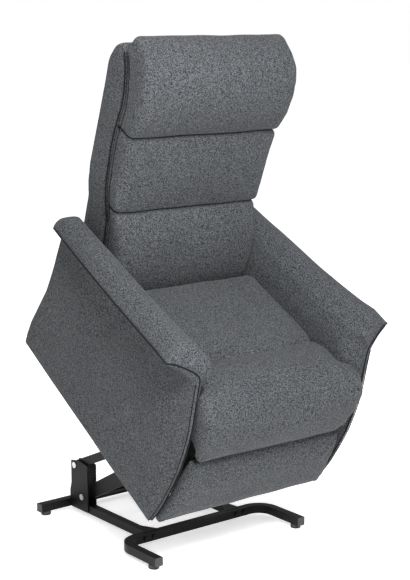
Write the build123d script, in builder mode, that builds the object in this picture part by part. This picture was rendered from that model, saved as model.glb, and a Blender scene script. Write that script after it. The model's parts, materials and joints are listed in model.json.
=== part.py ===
from build123d import *
import os
from math import atan2, cos, degrees, hypot, radians, sin

# Lift recliner chair, in millimetres, shown raised for standing up.
# +Z is up, the sitter faces -Y, and the sitter's left hand is on the +X side.
# Base pieces are drawn in the row's own frame.  Everything that the lift carries is drawn
# as it stands in the sitting chair, and is tilted forward about X when it is written.

# ---- driving dimensions ---------------------------------------------------------------
lift_tilt = 32.0            # forward tilt of the raised seat
sit_drop = 170.0            # how far the chair body comes down, from drawing to sitting

tube = 25.0                 # square tube of the floor frame
tube_wall = 2.0
pad_height = 13.0           # rubber floor pads
crossbar_y = 30.5
foot_x = 267.0              # centre line of each front foot
foot_front_y = -153.0
foot_bend = 55.0
crossbar_half = 205.0
rail_x = 164.0              # centre line of each side rail
rear_bar_y = 440.0
rear_bar_half = 285.0

cheek = 4.0                 # tower side plates
tower_front_y = 330.0
tower_rear_y = 420.0
tower_top = 171.0
upper_pivot = (401.0, 153.0)
lower_pivot = (362.0, 59.0)
lift_pin = 6.0              # radius of the four main lift pins

upper_link_length = 388.0
upper_link_rise = 24.0      # angle above the floor in the raised chair
upper_link_width = 27.0
upper_link_plate = 8.0
lower_link_front = (122.0, 220.0)
lower_link_plate = 6.0
tie_at = 52.0               # cross tie of the lower links, from their rear pivots

seat_half = 252.0           # inner face of each arm
side_plate = 6.0            # steel mechanism plates
link_plate = 5.0            # legrest links
layer_gap = 2.0             # between plates that slide past each other
rivet = 5.0                 # radius of the legrest rivets
running = 0.05              # radial clearance of every pin in its hole
slot_room = 0.5             # extra radius of a slotted, free pivot

arm_bottom = 224.0
arm_thick = 64.0
arm_board = 18.0
flare_rear = 104.0          # overhang of the top seam past the inner face, at the back
flare_front = 138.0         # and at the front horn
rail_bottom = 440.0         # wooden seat rails
rail_depth = 55.0
rail_width = 45.0
seat_bottom = 500.0
seat_rear_y = 455.0
seat_side_gap = 3.0
roll_front_y = -104.0
roll_bottom = 462.0
roll_low_half = 262.0       # the front roll is wider than the space between the arms
roll_half = 286.0
roll_rear_y = -46.0
arm_fin = 16.0              # the arms are thin beside the front roll
arm_fin_depth = 38.0

back_pivot = (500.0, 455.0)
back_tube_r = 11.0
recline = 32.0              # further lean of the backrest
back_low_half = 249.0
back_half = 264.0
head_half = 280.0
frame_depth = 32.0
upright = 35.0

legrest_a = (5.0, 425.0)    # drive link on the mechanism plate
legrest_c = (40.0, 400.0)   # control link on the mechanism plate
legrest_length = 140.0
legrest_hang = 268.0        # direction of the folded drive link
legrest_g_y = -40.0         # legrest board pivot
legrest_k = (20.0, 260.0)
legrest_d = (10.0, 248.0)
legrest_h = (-30.0, 386.0)
drive_turn = -73.0
carry_turn = 33.4
board_turn = -85.0
legrest_half = 257.0
legrest_top = 456.0
legrest_bottom = 230.0
legrest_front_y = -100.0
legrest_pad = 30.0
legrest_board = 18.0

cylinder_r = 16.0           # the three drives
motor_r = 25.0
rod_r = 8.0
drive_pin = 6.0
lug = 6.0
lug_gap = 22.0
lift_drive_x = 45.0
lift_clevis_z = 62.0        # over the rear bar
lift_anchor = (220.0, 300.0)  # on the mechanism, as drawn
back_drive_x = -45.0
back_clevis = (118.0, 348.0)
back_lever = 90.0
back_lever_angle = 250.0
legrest_drive_x = 110.0
legrest_lever = 55.0
legrest_drive_end = 318.0
cross_r = 12.0
front_tube = (92.0, 350.0)
rear_tube = (345.0, 424.0)

handset_y = 300.0
handset_z = 420.0
handset_size = (20.0, 54.0, 165.0)
key_size = (5.0, 30.0, 26.0)
key_swing = 5.0
key_pin = 1.5


# ---- geometry shared by several pieces ---------------------------------------------------
def turned(point, angle, centre=(0.0, 0.0)):
    """A (y, z) point turned about a centre, positive from +Y towards +Z."""
    y, z = point[0] - centre[0], point[1] - centre[1]
    c, s = cos(radians(angle)), sin(radians(angle))
    return (centre[0] + y * c - z * s, centre[1] + y * s + z * c)


def polar(centre, length, angle):
    return (centre[0] + length * cos(radians(angle)), centre[1] + length * sin(radians(angle)))


def between(start, end):
    return hypot(end[0] - start[0], end[1] - start[1])


def heading(start, end):
    return degrees(atan2(end[1] - start[1], end[0] - start[0]))


steps = [i / 8 for i in range(9)]

# Lift: the upper link carries the chair body, the lower link guides it through a slot.
upper_front_raised = polar(upper_pivot, upper_link_length, 180 - upper_link_rise)
upper_front = turned(upper_front_raised, -lift_tilt)
drop_sine = (upper_pivot[1] - upper_front[1] + sit_drop) / upper_link_length
lift_turn = upper_link_rise + degrees(atan2(drop_sine, (1 - drop_sine**2) ** 0.5))
upper_front_sitting = turned(upper_front_raised, lift_turn, upper_pivot)
sit_shift = (upper_front_sitting[0] - upper_front[0], -sit_drop)
lower_front_raised = turned(lower_link_front, lift_tilt)
lower_front_sitting = (lower_link_front[0] + sit_shift[0], lower_link_front[1] + sit_shift[1])
lower_turn = (
    heading(lower_pivot, lower_front_sitting) - heading(lower_pivot, lower_front_raised)
) % 360


def on_chair(point, t):
    """A base-frame point seen from the chair body, t from 0 raised to 1 sitting."""
    carrier = turned(upper_front_raised, lift_turn * t, upper_pivot)
    away = (point[0] - carrier[0], point[1] - carrier[1])
    back_turned = turned(away, -lift_tilt * (1 - t))
    return (upper_front[0] + back_turned[0], upper_front[1] + back_turned[1])


lower_slot = [on_chair(turned(lower_front_raised, lower_turn * t, lower_pivot), t) for t in steps]

# Legrest: drive link A-E, carrying link E-G, control links C-K and D-H.
legrest_e = polar(legrest_a, legrest_length, legrest_hang)
legrest_g = (
    legrest_g_y,
    legrest_e[1] + (legrest_length**2 - (legrest_e[0] - legrest_g_y) ** 2) ** 0.5,
)


def drive_at(point, t):
    return turned(point, drive_turn * t, legrest_a)


def carry_at(point, t):
    moved = turned(point, carry_turn * t, legrest_e)
    elbow = drive_at(legrest_e, t)
    return (moved[0] + elbow[0] - legrest_e[0], moved[1] + elbow[1] - legrest_e[1])


def board_at(point, t):
    moved = turned(point, board_turn * t, legrest_g)
    knee = carry_at(legrest_g, t)
    return (moved[0] + knee[0] - legrest_g[0], moved[1] + knee[1] - legrest_g[1])


control_turn = heading(legrest_c, carry_at(legrest_k, 1)) - heading(legrest_c, legrest_k)
guide_turn = heading(drive_at(legrest_d, 1), board_at(legrest_h, 1)) - heading(legrest_d, legrest_h)
control_slot = [turned(carry_at(legrest_k, t), -control_turn * t, legrest_c) for t in steps]


def from_guide(t):
    base, tip = drive_at(legrest_d, t), board_at(legrest_h, t)
    away = turned((tip[0] - base[0], tip[1] - base[1]), -guide_turn * t)
    return (legrest_d[0] + away[0], legrest_d[1] + away[1])


guide_slot = [from_guide(t) for t in steps]


def drive_slot(clevis, pin, lever_centre, lever_turn):
    """Ratio of a drive to its lever, and the path of its pin as the lever sees it."""
    end = turned(pin, lever_turn, lever_centre)
    swing = heading(clevis, end) - heading(clevis, pin)
    stroke = between(clevis, end) - between(clevis, pin)
    path = []
    for t in steps:
        reach = between(clevis, pin) + stroke * t
        tip = polar(clevis, reach, heading(clevis, pin) + swing * t)
        path.append(turned(tip, -lever_turn * t, lever_centre))
    return swing, stroke, path


lift_clevis = (rear_bar_y, lift_clevis_z)
lift_pin_raised = turned(lift_anchor, lift_tilt)
lift_pin_sitting = (lift_anchor[0] + sit_shift[0], lift_anchor[1] + sit_shift[1])
lift_swing = heading(lift_clevis, lift_pin_sitting) - heading(lift_clevis, lift_pin_raised)
lift_stroke = between(lift_clevis, lift_pin_sitting) - between(lift_clevis, lift_pin_raised)


def lift_tip(t):
    reach = between(lift_clevis, lift_pin_raised) + lift_stroke * t
    return polar(lift_clevis, reach, heading(lift_clevis, lift_pin_raised) + lift_swing * t)


lift_slot = [on_chair(lift_tip(t), t) for t in steps]
back_pin = polar(back_pivot, back_lever, back_lever_angle)
back_swing, back_stroke, back_slot = drive_slot(back_clevis, back_pin, back_pivot, -recline)
legrest_pin = polar(legrest_a, legrest_lever, 270 - drive_turn / 2)
legrest_stroke = turned(legrest_pin, drive_turn, legrest_a)[0] - legrest_pin[0]
legrest_slot = [
    turned((legrest_pin[0] + legrest_stroke * t, legrest_pin[1]), -drive_turn * t, legrest_a)
    for t in steps
]

# Layers from the mechanism plate outwards, as x of each inner face.
rail_inner = rail_x - tube / 2
rail_outer = rail_x + tube / 2
lower_link_x = rail_inner + 2.5
upper_link_x = lower_link_x + lower_link_plate + 5.0
side_plate_x = rail_outer + cheek + 3.5
layer = link_plate + layer_gap
guide_x = side_plate_x + side_plate + layer_gap
drive_x = guide_x + layer
carry_x = drive_x + layer
control_x = carry_x + layer
tube_low = pad_height
tube_top = pad_height + tube
arm_outer = seat_half + arm_thick

pieces = {}
BASE = Location((0, 0, 0))
CHAIR = Location((0, 0, 0), (lift_tilt, 0, 0))


def keep(builder, label, frame=CHAIR):
    pieces[label] = builder.part.moved(frame)


def slab(corner_a, corner_b, mode=Mode.ADD):
    """A box between two opposite corners."""
    size = [abs(b - a) for a, b in zip(corner_a, corner_b)]
    middle = [(a + b) / 2 for a, b in zip(corner_a, corner_b)]
    with Locations(tuple(middle)):
        Box(*size, mode=mode)


def rod_along_x(x_from, x_to, centre, radius, mode=Mode.ADD):
    """A round bar across the chair at a (y, z) centre."""
    with BuildSketch(Plane.YZ.offset(x_from)) as face:
        with Locations(centre):
            Circle(radius)
    extrude(face.sketch, amount=x_to - x_from, mode=mode)


def plate(x_from, thickness, discs):
    """A flat plate in the YZ plane: the hull of (centre, radius) discs."""
    with BuildSketch(Plane.YZ.offset(x_from)) as face:
        for centre, radius in discs:
            with Locations(centre):
                Circle(radius)
        make_hull()
    extrude(face.sketch, amount=thickness)


def slot_through(x_from, thickness, path, radius):
    """A slot that follows a short path."""
    with BuildSketch(Plane.YZ.offset(x_from)) as face:
        with Locations(*path):
            Circle(radius)
        make_hull()
    extrude(face.sketch, amount=thickness, mode=Mode.SUBTRACT)


def outline(x_from, thickness, points, mode=Mode.ADD):
    """A flat-sided body from a closed (y, z) outline."""
    with BuildSketch(Plane.YZ.offset(x_from)) as face:
        with BuildLine():
            Polyline(*points, close=True)
        make_face()
    extrude(face.sketch, amount=thickness, mode=mode)


# ---- floor frame ----------------------------------------------------------------------------
with BuildPart() as base_crossbar:
    slab((-crossbar_half, crossbar_y - tube / 2, tube_low), (crossbar_half, crossbar_y + tube / 2, tube_top))
    slab(
        (-crossbar_half, crossbar_y - tube / 2 + tube_wall, tube_low + tube_wall),
        (crossbar_half, crossbar_y + tube / 2 - tube_wall, tube_top - tube_wall),
        mode=Mode.SUBTRACT,
    )
keep(base_crossbar, "base_crossbar", BASE)

for side, hand in ((1, "left"), (-1, "right")):
    with BuildPart() as foot:
        with BuildLine(Plane.XY.offset(tube_low + tube / 2)) as foot_line:
            FilletPolyline(
                (side * crossbar_half, crossbar_y),
                (side * foot_x, crossbar_y),
                (side * foot_x, foot_front_y),
                radius=foot_bend,
            )
        for width, mode in ((tube, Mode.ADD), (tube - 2 * tube_wall, Mode.SUBTRACT)):
            with BuildSketch(
                Plane(origin=foot_line.line @ 0, x_dir=(0, 1, 0), z_dir=foot_line.line % 0)
            ) as section:
                Rectangle(width, width)
            sweep(sections=section.sketch, path=foot_line.line, mode=mode)
    keep(foot, f"base_foot_{hand}", BASE)

with BuildPart() as base_side_rails:
    for wall, mode in ((0.0, Mode.ADD), (tube_wall, Mode.SUBTRACT)):
        slab(
            (rail_inner + wall, crossbar_y + tube / 2, tube_low + wall),
            (rail_outer - wall, rear_bar_y - tube / 2, tube_top - wall),
            mode=mode,
        )
    mirror(about=Plane.YZ)
keep(base_side_rails, "base_side_rails", BASE)

with BuildPart() as base_rear_bar:
    for wall, mode in ((0.0, Mode.ADD), (tube_wall, Mode.SUBTRACT)):
        slab(
            (-rear_bar_half, rear_bar_y - tube / 2 + wall, tube_low + wall),
            (rear_bar_half, rear_bar_y + tube / 2 - wall, tube_top - wall),
            mode=mode,
        )
keep(base_rear_bar, "base_rear_bar", BASE)

cap_plate = 3.5
cap_plug = 12.0
with BuildPart() as base_end_caps:
    bore = tube / 2 - tube_wall
    mid_z = tube_low + tube / 2
    slab(
        (foot_x - tube / 2, foot_front_y - cap_plate, tube_low),
        (foot_x + tube / 2, foot_front_y, tube_top),
    )
    slab((foot_x - bore, foot_front_y, mid_z - bore), (foot_x + bore, foot_front_y + cap_plug, mid_z + bore))
    slab(
        (rear_bar_half, rear_bar_y - tube / 2, tube_low),
        (rear_bar_half + cap_plate, rear_bar_y + tube / 2, tube_top),
    )
    slab(
        (rear_bar_half - cap_plug, rear_bar_y - bore, mid_z - bore),
        (rear_bar_half, rear_bar_y + bore, mid_z + bore),
    )
    mirror(about=Plane.YZ)
keep(base_end_caps, "base_end_caps", BASE)

pad_r = 15.0
pad_spots = [
    (foot_x, foot_front_y + 24),
    (rear_bar_half - 22, rear_bar_y),
]
with BuildPart() as floor_pads:
    with BuildSketch():
        with Locations(*pad_spots):
            Circle(pad_r)
    extrude(amount=pad_height)
    chamfer(floor_pads.edges().group_by(Axis.Z)[0], 1.5)
    mirror(about=Plane.YZ)
keep(floor_pads, "floor_pads", BASE)

for side, hand in ((1, "left"), (-1, "right")):
    with BuildPart() as tower:
        for x_from in (rail_inner - cheek, rail_outer):
            with BuildSketch(Plane.YZ.offset(x_from)) as cheek_face:
                with BuildLine():
                    Polyline(
                        (tower_front_y, tube_low + 2),
                        (rear_bar_y - tube / 2, tube_low + 2),
                        (rear_bar_y - tube / 2, tube_top + 30),
                        (tower_rear_y, tube_top + 55),
                        (tower_rear_y, tower_top - 6),
                        (tower_rear_y - 34, tower_top),
                        (tower_front_y + 34, tower_top),
                        (tower_front_y, tower_top - 6),
                        close=True,
                    )
                make_face()
                fillet(cheek_face.vertices().group_by(Axis.Y)[0], 6)
                with Locations(upper_pivot, lower_pivot):
                    Circle(lift_pin + running, mode=Mode.SUBTRACT)
            extrude(amount=cheek)
        if side < 0:
            mirrored = mirror(tower.part, about=Plane.YZ, mode=Mode.REPLACE)
    keep(tower, f"lift_tower_{hand}", BASE)

head_r = 9.5
head_h = 5.0
with BuildPart() as lift_pivot_bolts:
    for spot in (upper_pivot, lower_pivot):
        rod_along_x(rail_inner - cheek - head_h, rail_outer + cheek + 0.5, spot, lift_pin)
        for x_from, x_to in (
            (rail_inner - cheek - head_h, rail_inner - cheek),
            (rail_outer + cheek, rail_outer + cheek + 2.5),
        ):
            rod_along_x(x_from, x_to, spot, head_r)
    mirror(about=Plane.YZ)
keep(lift_pivot_bolts, "lift_pivot_bolts", BASE)

with BuildPart() as base_bolts:
    for spot in ((tower_front_y + 20, tower_top - 14), (tower_rear_y - 26, tube_top + 22)):
        rod_along_x(rail_inner - cheek - head_h, rail_inner - cheek, spot, 8.0)
    for x in (crossbar_half - 18, crossbar_half - 48):
        with BuildSketch(Plane.XZ.offset(-(crossbar_y - tube / 2))):
            with Locations((x, tube_low + tube / 2)):
                RegularPolygon(7.0, 6)
        extrude(amount=4.5)
    mirror(about=Plane.YZ)
keep(base_bolts, "base_bolts", BASE)

with BuildPart() as base_gussets:
    for y_corner, y_end in ((crossbar_y + tube / 2, crossbar_y + tube / 2 + 48),):
        with BuildSketch(Plane.XY.offset(tube_top)):
            with BuildLine():
                Polyline(
                    (rail_inner - 26, y_corner - 12),
                    (rail_outer + 4, y_corner - 12),
                    (rail_outer - 3, y_end),
                    (rail_inner + 3, y_end),
                    close=True,
                )
            make_face()
        extrude(amount=1.0)
    mirror(about=Plane.YZ)
keep(base_gussets, "base_gussets", BASE)


def clevis_lugs(centre, x_middle, low_z):
    """Two lugs that stand up from low_z to hold a drive's end pin."""
    for x_from in (x_middle - lug_gap / 2 - lug, x_middle + lug_gap / 2):
        with BuildSketch(Plane.YZ.offset(x_from)) as face:
            with Locations(centre):
                Circle(11)
            with Locations((centre[0], (centre[1] + low_z) / 2)):
                Rectangle(22, centre[1] - low_z)
            with Locations(centre):
                Circle(drive_pin, mode=Mode.SUBTRACT)
        extrude(face.sketch, amount=lug)


with BuildPart() as lift_clevis_bracket:
    clevis_lugs(lift_clevis, lift_drive_x, tube_top)
keep(lift_clevis_bracket, "lift_clevis_bracket", BASE)


def clevis_pin(centre, x_middle):
    reach = lug_gap / 2 + lug
    rod_along_x(x_middle - reach, x_middle + reach, centre, drive_pin)
    rod_along_x(x_middle - reach - 2.5, x_middle - reach, centre, drive_pin + 3)
    rod_along_x(x_middle + reach, x_middle + reach + 2.5, centre, drive_pin + 3)


with BuildPart() as lift_clevis_pin:
    clevis_pin(lift_clevis, lift_drive_x)
keep(lift_clevis_pin, "lift_clevis_pin", BASE)

# ---- upper lift links -------------------------------------------------------------------------
with BuildPart() as upper_lift_links:
    plate(
        upper_link_x,
        upper_link_plate,
        [(upper_pivot, upper_link_width / 2), (upper_front_raised, upper_link_width / 2)],
    )
    for spot in (upper_pivot, upper_front_raised):
        rod_along_x(upper_link_x, upper_link_x + upper_link_plate, spot, lift_pin + running, Mode.SUBTRACT)
    mirror(about=Plane.YZ)
keep(upper_lift_links, "upper_lift_links", BASE)

# ---- lower lift links ----------------------------------------------------------------------
lower_axis = heading(lower_front_raised, lower_pivot)
above = lower_axis + 90
with BuildPart() as lower_lift_links:
    plate(
        lower_link_x,
        lower_link_plate,
        [
            (lower_pivot, 14.0),
            (polar(lower_pivot, 12, above), 15.0),
            (lower_front_raised, 12.0),
            (polar(polar(lower_front_raised, 60, lower_axis), 20, above), 20.0),
        ],
    )
    rod_along_x(
        lower_link_x, lower_link_x + lower_link_plate, lower_pivot, lift_pin + running, Mode.SUBTRACT
    )
    rod_along_x(
        lower_link_x, lower_link_x + lower_link_plate, lower_front_raised, lift_pin, Mode.SUBTRACT
    )
    mirror(about=Plane.YZ)
keep(lower_lift_links, "lower_lift_links", BASE)

tie_spot = polar(polar(lower_pivot, tie_at, lower_axis + 180), 6, lower_axis - 90)
with BuildPart() as lower_link_tie:
    rod_along_x(-lower_link_x, lower_link_x, tie_spot, 6.5)
keep(lower_link_tie, "lower_link_tie", BASE)

with BuildPart() as lower_link_pins:
    end = side_plate_x + side_plate
    rod_along_x(lower_link_x, end + 0.5, lower_front_raised, lift_pin)
    rod_along_x(lower_link_x + lower_link_plate, side_plate_x - 0.5, lower_front_raised, lift_pin + 3)
    rod_along_x(end + 0.5, end + 3.5, lower_front_raised, lift_pin + 5)
    mirror(about=Plane.YZ)
keep(lower_link_pins, "lower_link_pins", BASE)

# ---- mechanism plates under the seat --------------------------------------------------------
for side, hand in ((1, "left"), (-1, "right")):
    with BuildPart() as mechanism_plate:
        outline(
            side_plate_x,
            side_plate,
            [
                (legrest_a[0] - 18, rail_bottom),
                (legrest_a[0] - 18, legrest_a[1] - 20),
                (56, 365),
                (lower_link_front[0] - 30, lower_link_front[1] + 5),
                (lower_link_front[0] - 12, lower_link_front[1] - 20),
                (lower_link_front[0] + 20, lower_link_front[1] - 15),
                (upper_front[0] + 14, upper_front[1] - 20),
                (upper_front[0] + 26, upper_front[1] + 10),
                (265, 340),
                (400, 375),
                (back_pivot[0] + 20, back_pivot[1] - 18),
                (back_pivot[0] + 20, back_pivot[1] + 18),
                (back_pivot[0] - 20, back_pivot[1] + 18),
                (back_pivot[0] - 40, rail_bottom),
            ],
        )
        slab((side_plate_x, 75, rail_bottom - 5), (seat_half - 12, 420, rail_bottom))
        slot_through(side_plate_x, side_plate, lower_slot, lift_pin + slot_room)
        for spot, radius in (
            (upper_front, lift_pin),
            (front_tube, cross_r),
            (rear_tube, cross_r),
            (legrest_a, 10 + running),
            (back_pivot, back_tube_r + running),
            (legrest_c, rivet),
        ):
            rod_along_x(side_plate_x, side_plate_x + side_plate, spot, radius, Mode.SUBTRACT)
        if side < 0:
            mirrored = mirror(mechanism_plate.part, about=Plane.YZ, mode=Mode.REPLACE)
    keep(mechanism_plate, f"mechanism_plate_{hand}")

tube_half = side_plate_x + side_plate
with BuildPart() as chassis_cross_tubes:
    for spot in (front_tube, rear_tube):
        rod_along_x(-tube_half, tube_half, spot, cross_r)
        rod_along_x(-tube_half, tube_half, spot, cross_r - 2, Mode.SUBTRACT)
keep(chassis_cross_tubes, "chassis_cross_tubes")

with BuildPart() as lift_drive_beam:
    for x_from in (lift_drive_x - lug_gap / 2 - lug, lift_drive_x + lug_gap / 2):
        plate(x_from, lug, [(front_tube, cross_r + 5), (rear_tube, cross_r + 5), (lift_anchor, 26.0)])
        slot_through(x_from, lug, lift_slot, drive_pin + slot_room)
        for spot in (front_tube, rear_tube):
            rod_along_x(x_from, x_from + lug, spot, cross_r, Mode.SUBTRACT)
keep(lift_drive_beam, "lift_drive_beam")

with BuildPart() as chassis_pins:
    link_end = upper_link_x + upper_link_plate
    rod_along_x(upper_link_x - 3.5, side_plate_x + side_plate + 3, upper_front, lift_pin)
    rod_along_x(upper_link_x - 3.5, upper_link_x - 0.3, upper_front, head_r)
    rod_along_x(link_end + 0.3, side_plate_x, upper_front, lift_pin + 3)
    rod_along_x(side_plate_x + side_plate, side_plate_x + side_plate + 3, upper_front, head_r)
    rod_along_x(side_plate_x, control_x + link_plate + 0.3, legrest_c, rivet)
    rod_along_x(side_plate_x + side_plate, control_x - 0.3, legrest_c, rivet + 2)
    rod_along_x(control_x + link_plate + 0.3, control_x + link_plate + 2.8, legrest_c, rivet + 3)
    mirror(about=Plane.YZ)
keep(chassis_pins, "chassis_pins")

# ---- wooden seat frame, springs and seat cushion ----------------------------------------------
rail_x_in = seat_half - 7 - rail_width
rail_front_y = roll_front_y + 34
with BuildPart() as seat_side_rails:
    slab(
        (rail_x_in, rail_front_y + 25, rail_bottom),
        (rail_x_in + rail_width, seat_rear_y - 10, rail_bottom + rail_depth),
    )
    mirror(about=Plane.YZ)
keep(seat_side_rails, "seat_side_rails")

with BuildPart() as seat_front_rail:
    slab(
        (-rail_x_in - rail_width, rail_front_y, roll_bottom),
        (rail_x_in + rail_width, rail_front_y + 25, rail_bottom + rail_depth),
    )
keep(seat_front_rail, "seat_front_rail")

with BuildPart() as seat_rear_rail:
    slab(
        (-rail_x_in, seat_rear_y - 35, rail_bottom + 8),
        (rail_x_in, seat_rear_y - 10, rail_bottom + rail_depth),
    )
keep(seat_rear_rail, "seat_rear_rail")

spring_wire = 1.8
spring_z = rail_bottom + rail_depth - 6
spring_run = (rail_front_y + 28, seat_rear_y - 38)
spring_count = 5
spring_turns = 14
with BuildPart() as seat_springs:
    pitch = (spring_run[1] - spring_run[0]) / spring_turns
    for index in range(spring_count):
        x_mid = (index - (spring_count - 1) / 2) * 78
        points = [(x_mid, spring_run[0])]
        for turn in range(spring_turns):
            y_mid = spring_run[0] + (turn + 0.5) * pitch
            swing_x = 20 if turn % 2 else -20
            points += [(x_mid + swing_x, y_mid - pitch * 0.28), (x_mid + swing_x, y_mid + pitch * 0.28)]
        points.append((x_mid, spring_run[1]))
        with BuildLine(Plane.XY.offset(spring_z)) as wire:
            FilletPolyline(*points, radius=pitch * 0.24)
        with BuildSketch(Plane(origin=wire.line @ 0, z_dir=wire.line % 0)) as wire_section:
            Circle(spring_wire)
        sweep(sections=wire_section.sketch, path=wire.line)
keep(seat_springs, "seat_springs")

with BuildPart() as seat_cushion:
    outline(
        -(seat_half - seat_side_gap),
        2 * (seat_half - seat_side_gap),
        [
            (seat_rear_y, seat_bottom + 5),
            (seat_rear_y, 622),
            (300, 634),
            (120, 642),
            (0, 655),
            (roll_front_y + 46, 664),
            (roll_front_y + 14, 648),
            (roll_front_y, 600),
            (roll_front_y + 2, 558),
            (roll_front_y + 16, roll_bottom),
            (rail_front_y - 2, roll_bottom),
            (rail_front_y - 2, seat_bottom + 5),
        ],
    )
    edges = seat_cushion.edges().filter_by(Axis.X).group_by(Axis.Z)[-1]
    fillet(edges, 10)
    slab((-roll_low_half, roll_front_y + 12, roll_bottom), (roll_low_half, rail_front_y - 2, 545))
    slab((-roll_half, roll_front_y + 12, 545), (roll_half, roll_rear_y, 640))
keep(seat_cushion, "seat_cushion")

# ---- arms --------------------------------------------------------------------------------------
arm_front_y = -78.0
arm_rear_y = 692.0


def arm_section(y, seam_x, seam_z, crest_x, crest_z):
    with BuildSketch(Plane(origin=(0, y, 0), x_dir=(1, 0, 0), z_dir=(0, -1, 0))) as section:
        with BuildLine():
            Polyline(
                (seat_half, arm_bottom),
                (arm_outer, arm_bottom),
                (arm_outer, 600),
                (seam_x, seam_z),
                (crest_x, crest_z),
                (crest_x - 45, crest_z - 4),
                (seat_half + 12, crest_z - 45),
                (seat_half, crest_z - 95),
                close=True,
            )
        make_face()
    return section.sketch


arm_sections = [
    arm_section(740, seat_half + flare_rear, 689, seat_half + 84, 724),
    arm_section(340, seat_half + flare_rear + 12, 702, seat_half + 88, 757),
    arm_section(110, seat_half + flare_rear + 26, 735, seat_half + 92, 780),
    arm_section(-100, seat_half + flare_front, 792, seat_half + 98, 802),
]

arm_side = [
    (arm_front_y + 20, arm_bottom),
    (arm_front_y + 5, 291),
    (arm_front_y, 436),
    (arm_front_y + 20, 572),
    (arm_front_y + 39, 621),
    (arm_front_y + 68, 689),
    (arm_front_y + 78, 718),
    (arm_front_y + 107, 764),
    (arm_front_y + 150, 830),
    (arm_rear_y + 32, 830),
    (arm_rear_y + 34, 700),
    (arm_rear_y + 28, 684),
    (arm_rear_y, 655),
    (arm_rear_y - 5, 621),
    (arm_rear_y - 16, 536),
    (arm_rear_y - 19, 443),
    (arm_rear_y, 307),
    (arm_rear_y - 6, arm_bottom),
]
arm_front_edge = arm_side[:7]
fin_cut = [(y - 20, z) for y, z in arm_front_edge]
fin_cut += [(y + arm_fin_depth, z) for y, z in reversed(arm_front_edge)]
fin_cut[0] = (fin_cut[0][0], arm_bottom - 1)
fin_cut[-1] = (fin_cut[-1][0], arm_bottom - 1)
board_y = (arm_front_y + 72, arm_rear_y - 45)
board_top = 596.0
for side, hand in ((1, "left"), (-1, "right")):
    with BuildPart() as arm_cover:
        loft(arm_sections, ruled=True)
        outline(0, 500, arm_side, mode=Mode.INTERSECT)
        outline(seat_half - 1, arm_thick - arm_fin + 1, fin_cut, mode=Mode.SUBTRACT)
        slab(
            (seat_half + 10, board_y[0], arm_bottom),
            (seat_half + 10 + arm_board, board_y[1], board_top),
            mode=Mode.SUBTRACT,
        )
        if side < 0:
            mirrored = mirror(arm_cover.part, about=Plane.YZ, mode=Mode.REPLACE)
    keep(arm_cover, f"arm_cover_{hand}")
    with BuildPart() as arm_frame:
        slab(
            (side * (seat_half + 10), board_y[0], arm_bottom),
            (side * (seat_half + 10 + arm_board), board_y[1], board_top),
        )
    keep(arm_frame, f"arm_board_{hand}")

with BuildPart() as rear_stretcher:
    slab((-seat_half, arm_rear_y - 60, 250), (seat_half, arm_rear_y - 38, 330))
keep(rear_stretcher, "rear_stretcher")

# ---- backrest --------------------------------------------------------------------------------------
split_line = [
    (538, 522),
    (562, 640),
    (587, 706),
    (618, 776),
    (640, 850),
    (673, 954),
    (697, 1074),
    (724, 1176),
    (750, 1226),
]
cushion_face = [
    (740, 1280),
    (718, 1284),
    (660, 1262),
    (624, 1236),
    (602, 1200),
    (588, 1150),
    (585, 1100),
    (592, 1060),
    (606, 1028),
    (590, 930),
    (562, 802),
    (506, 740),
    (470, 660),
    (464, 600),
    (472, 522),
]
shell_face = [
    (788, 1226),
    (806, 1195),
    (803, 1148),
    (779, 1054),
    (756, 932),
    (729, 809),
    (699, 674),
    (672, 560),
    (652, 476),
    (548, 476),
]
shell_front = [(y + 2, z) for y, z in split_line]
frame_top = 1140.0
frame_front = [(y, z) for y, z in shell_front if z < frame_top] + [(shell_front[-2][0] - 10, frame_top)]
frame_rear = [(y + frame_depth, z - 6) for y, z in reversed(frame_front)]
neck_z = 785.0
ear_low, ear_high = 1042.0, 1236.0


def widened(profile, steps_up):
    """The profile across the chair, wider between given heights."""
    for half, low, high in steps_up:
        with BuildSketch(Plane.YZ.offset(-half)) as face:
            with BuildLine():
                Polyline(*profile, close=True)
            make_face()
            with Locations((650, (low + high) / 2)):
                Rectangle(600, high - low, mode=Mode.INTERSECT)
        extrude(face.sketch, amount=2 * half)


def frame_body():
    for x_from in (rail_x_in + 1, -rail_x_in - 1 - upright):
        outline(x_from, upright, frame_front + frame_rear)
    for low, high in ((522, 590), (760, 810), (frame_top - 56, frame_top)):
        with BuildSketch(Plane.YZ.offset(-rail_x_in - 1)) as face:
            with BuildLine():
                Polyline(*frame_front, *frame_rear, close=True)
            make_face()
            with Locations((650, (low + high) / 2)):
                Rectangle(600, high - low, mode=Mode.INTERSECT)
        extrude(face.sketch, amount=2 * rail_x_in + 2)


with BuildPart() as back_frame:
    frame_body()
keep(back_frame, "back_frame")

with BuildPart() as back_cushion:
    widened(
        split_line + cushion_face,
        [(back_low_half, 500, 1300), (back_half, neck_z, 1300), (head_half, ear_low, ear_high)],
    )
keep(back_cushion, "back_cushion")

bracket_x = side_plate_x + side_plate + 3
with BuildPart() as back_brackets:
    plate(bracket_x, side_plate, [(back_pivot, 18.0), ((548, 500), 16.0)])
    plate(bracket_x, side_plate, [((548, 500), 16.0), ((566, 560), 14.0)])
    rod_along_x(bracket_x, bracket_x + side_plate, back_pivot, back_tube_r, Mode.SUBTRACT)
    add(back_frame.part, mode=Mode.SUBTRACT)
    mirror(about=Plane.YZ)
keep(back_brackets, "back_brackets")

with BuildPart() as back_shell:
    widened(shell_front + shell_face, [(back_low_half, 400, 1300), (back_half, neck_z, 1300)])
    add(back_frame.part, mode=Mode.SUBTRACT)
    add(back_brackets.part, mode=Mode.SUBTRACT)
keep(back_shell, "back_shell")

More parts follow.
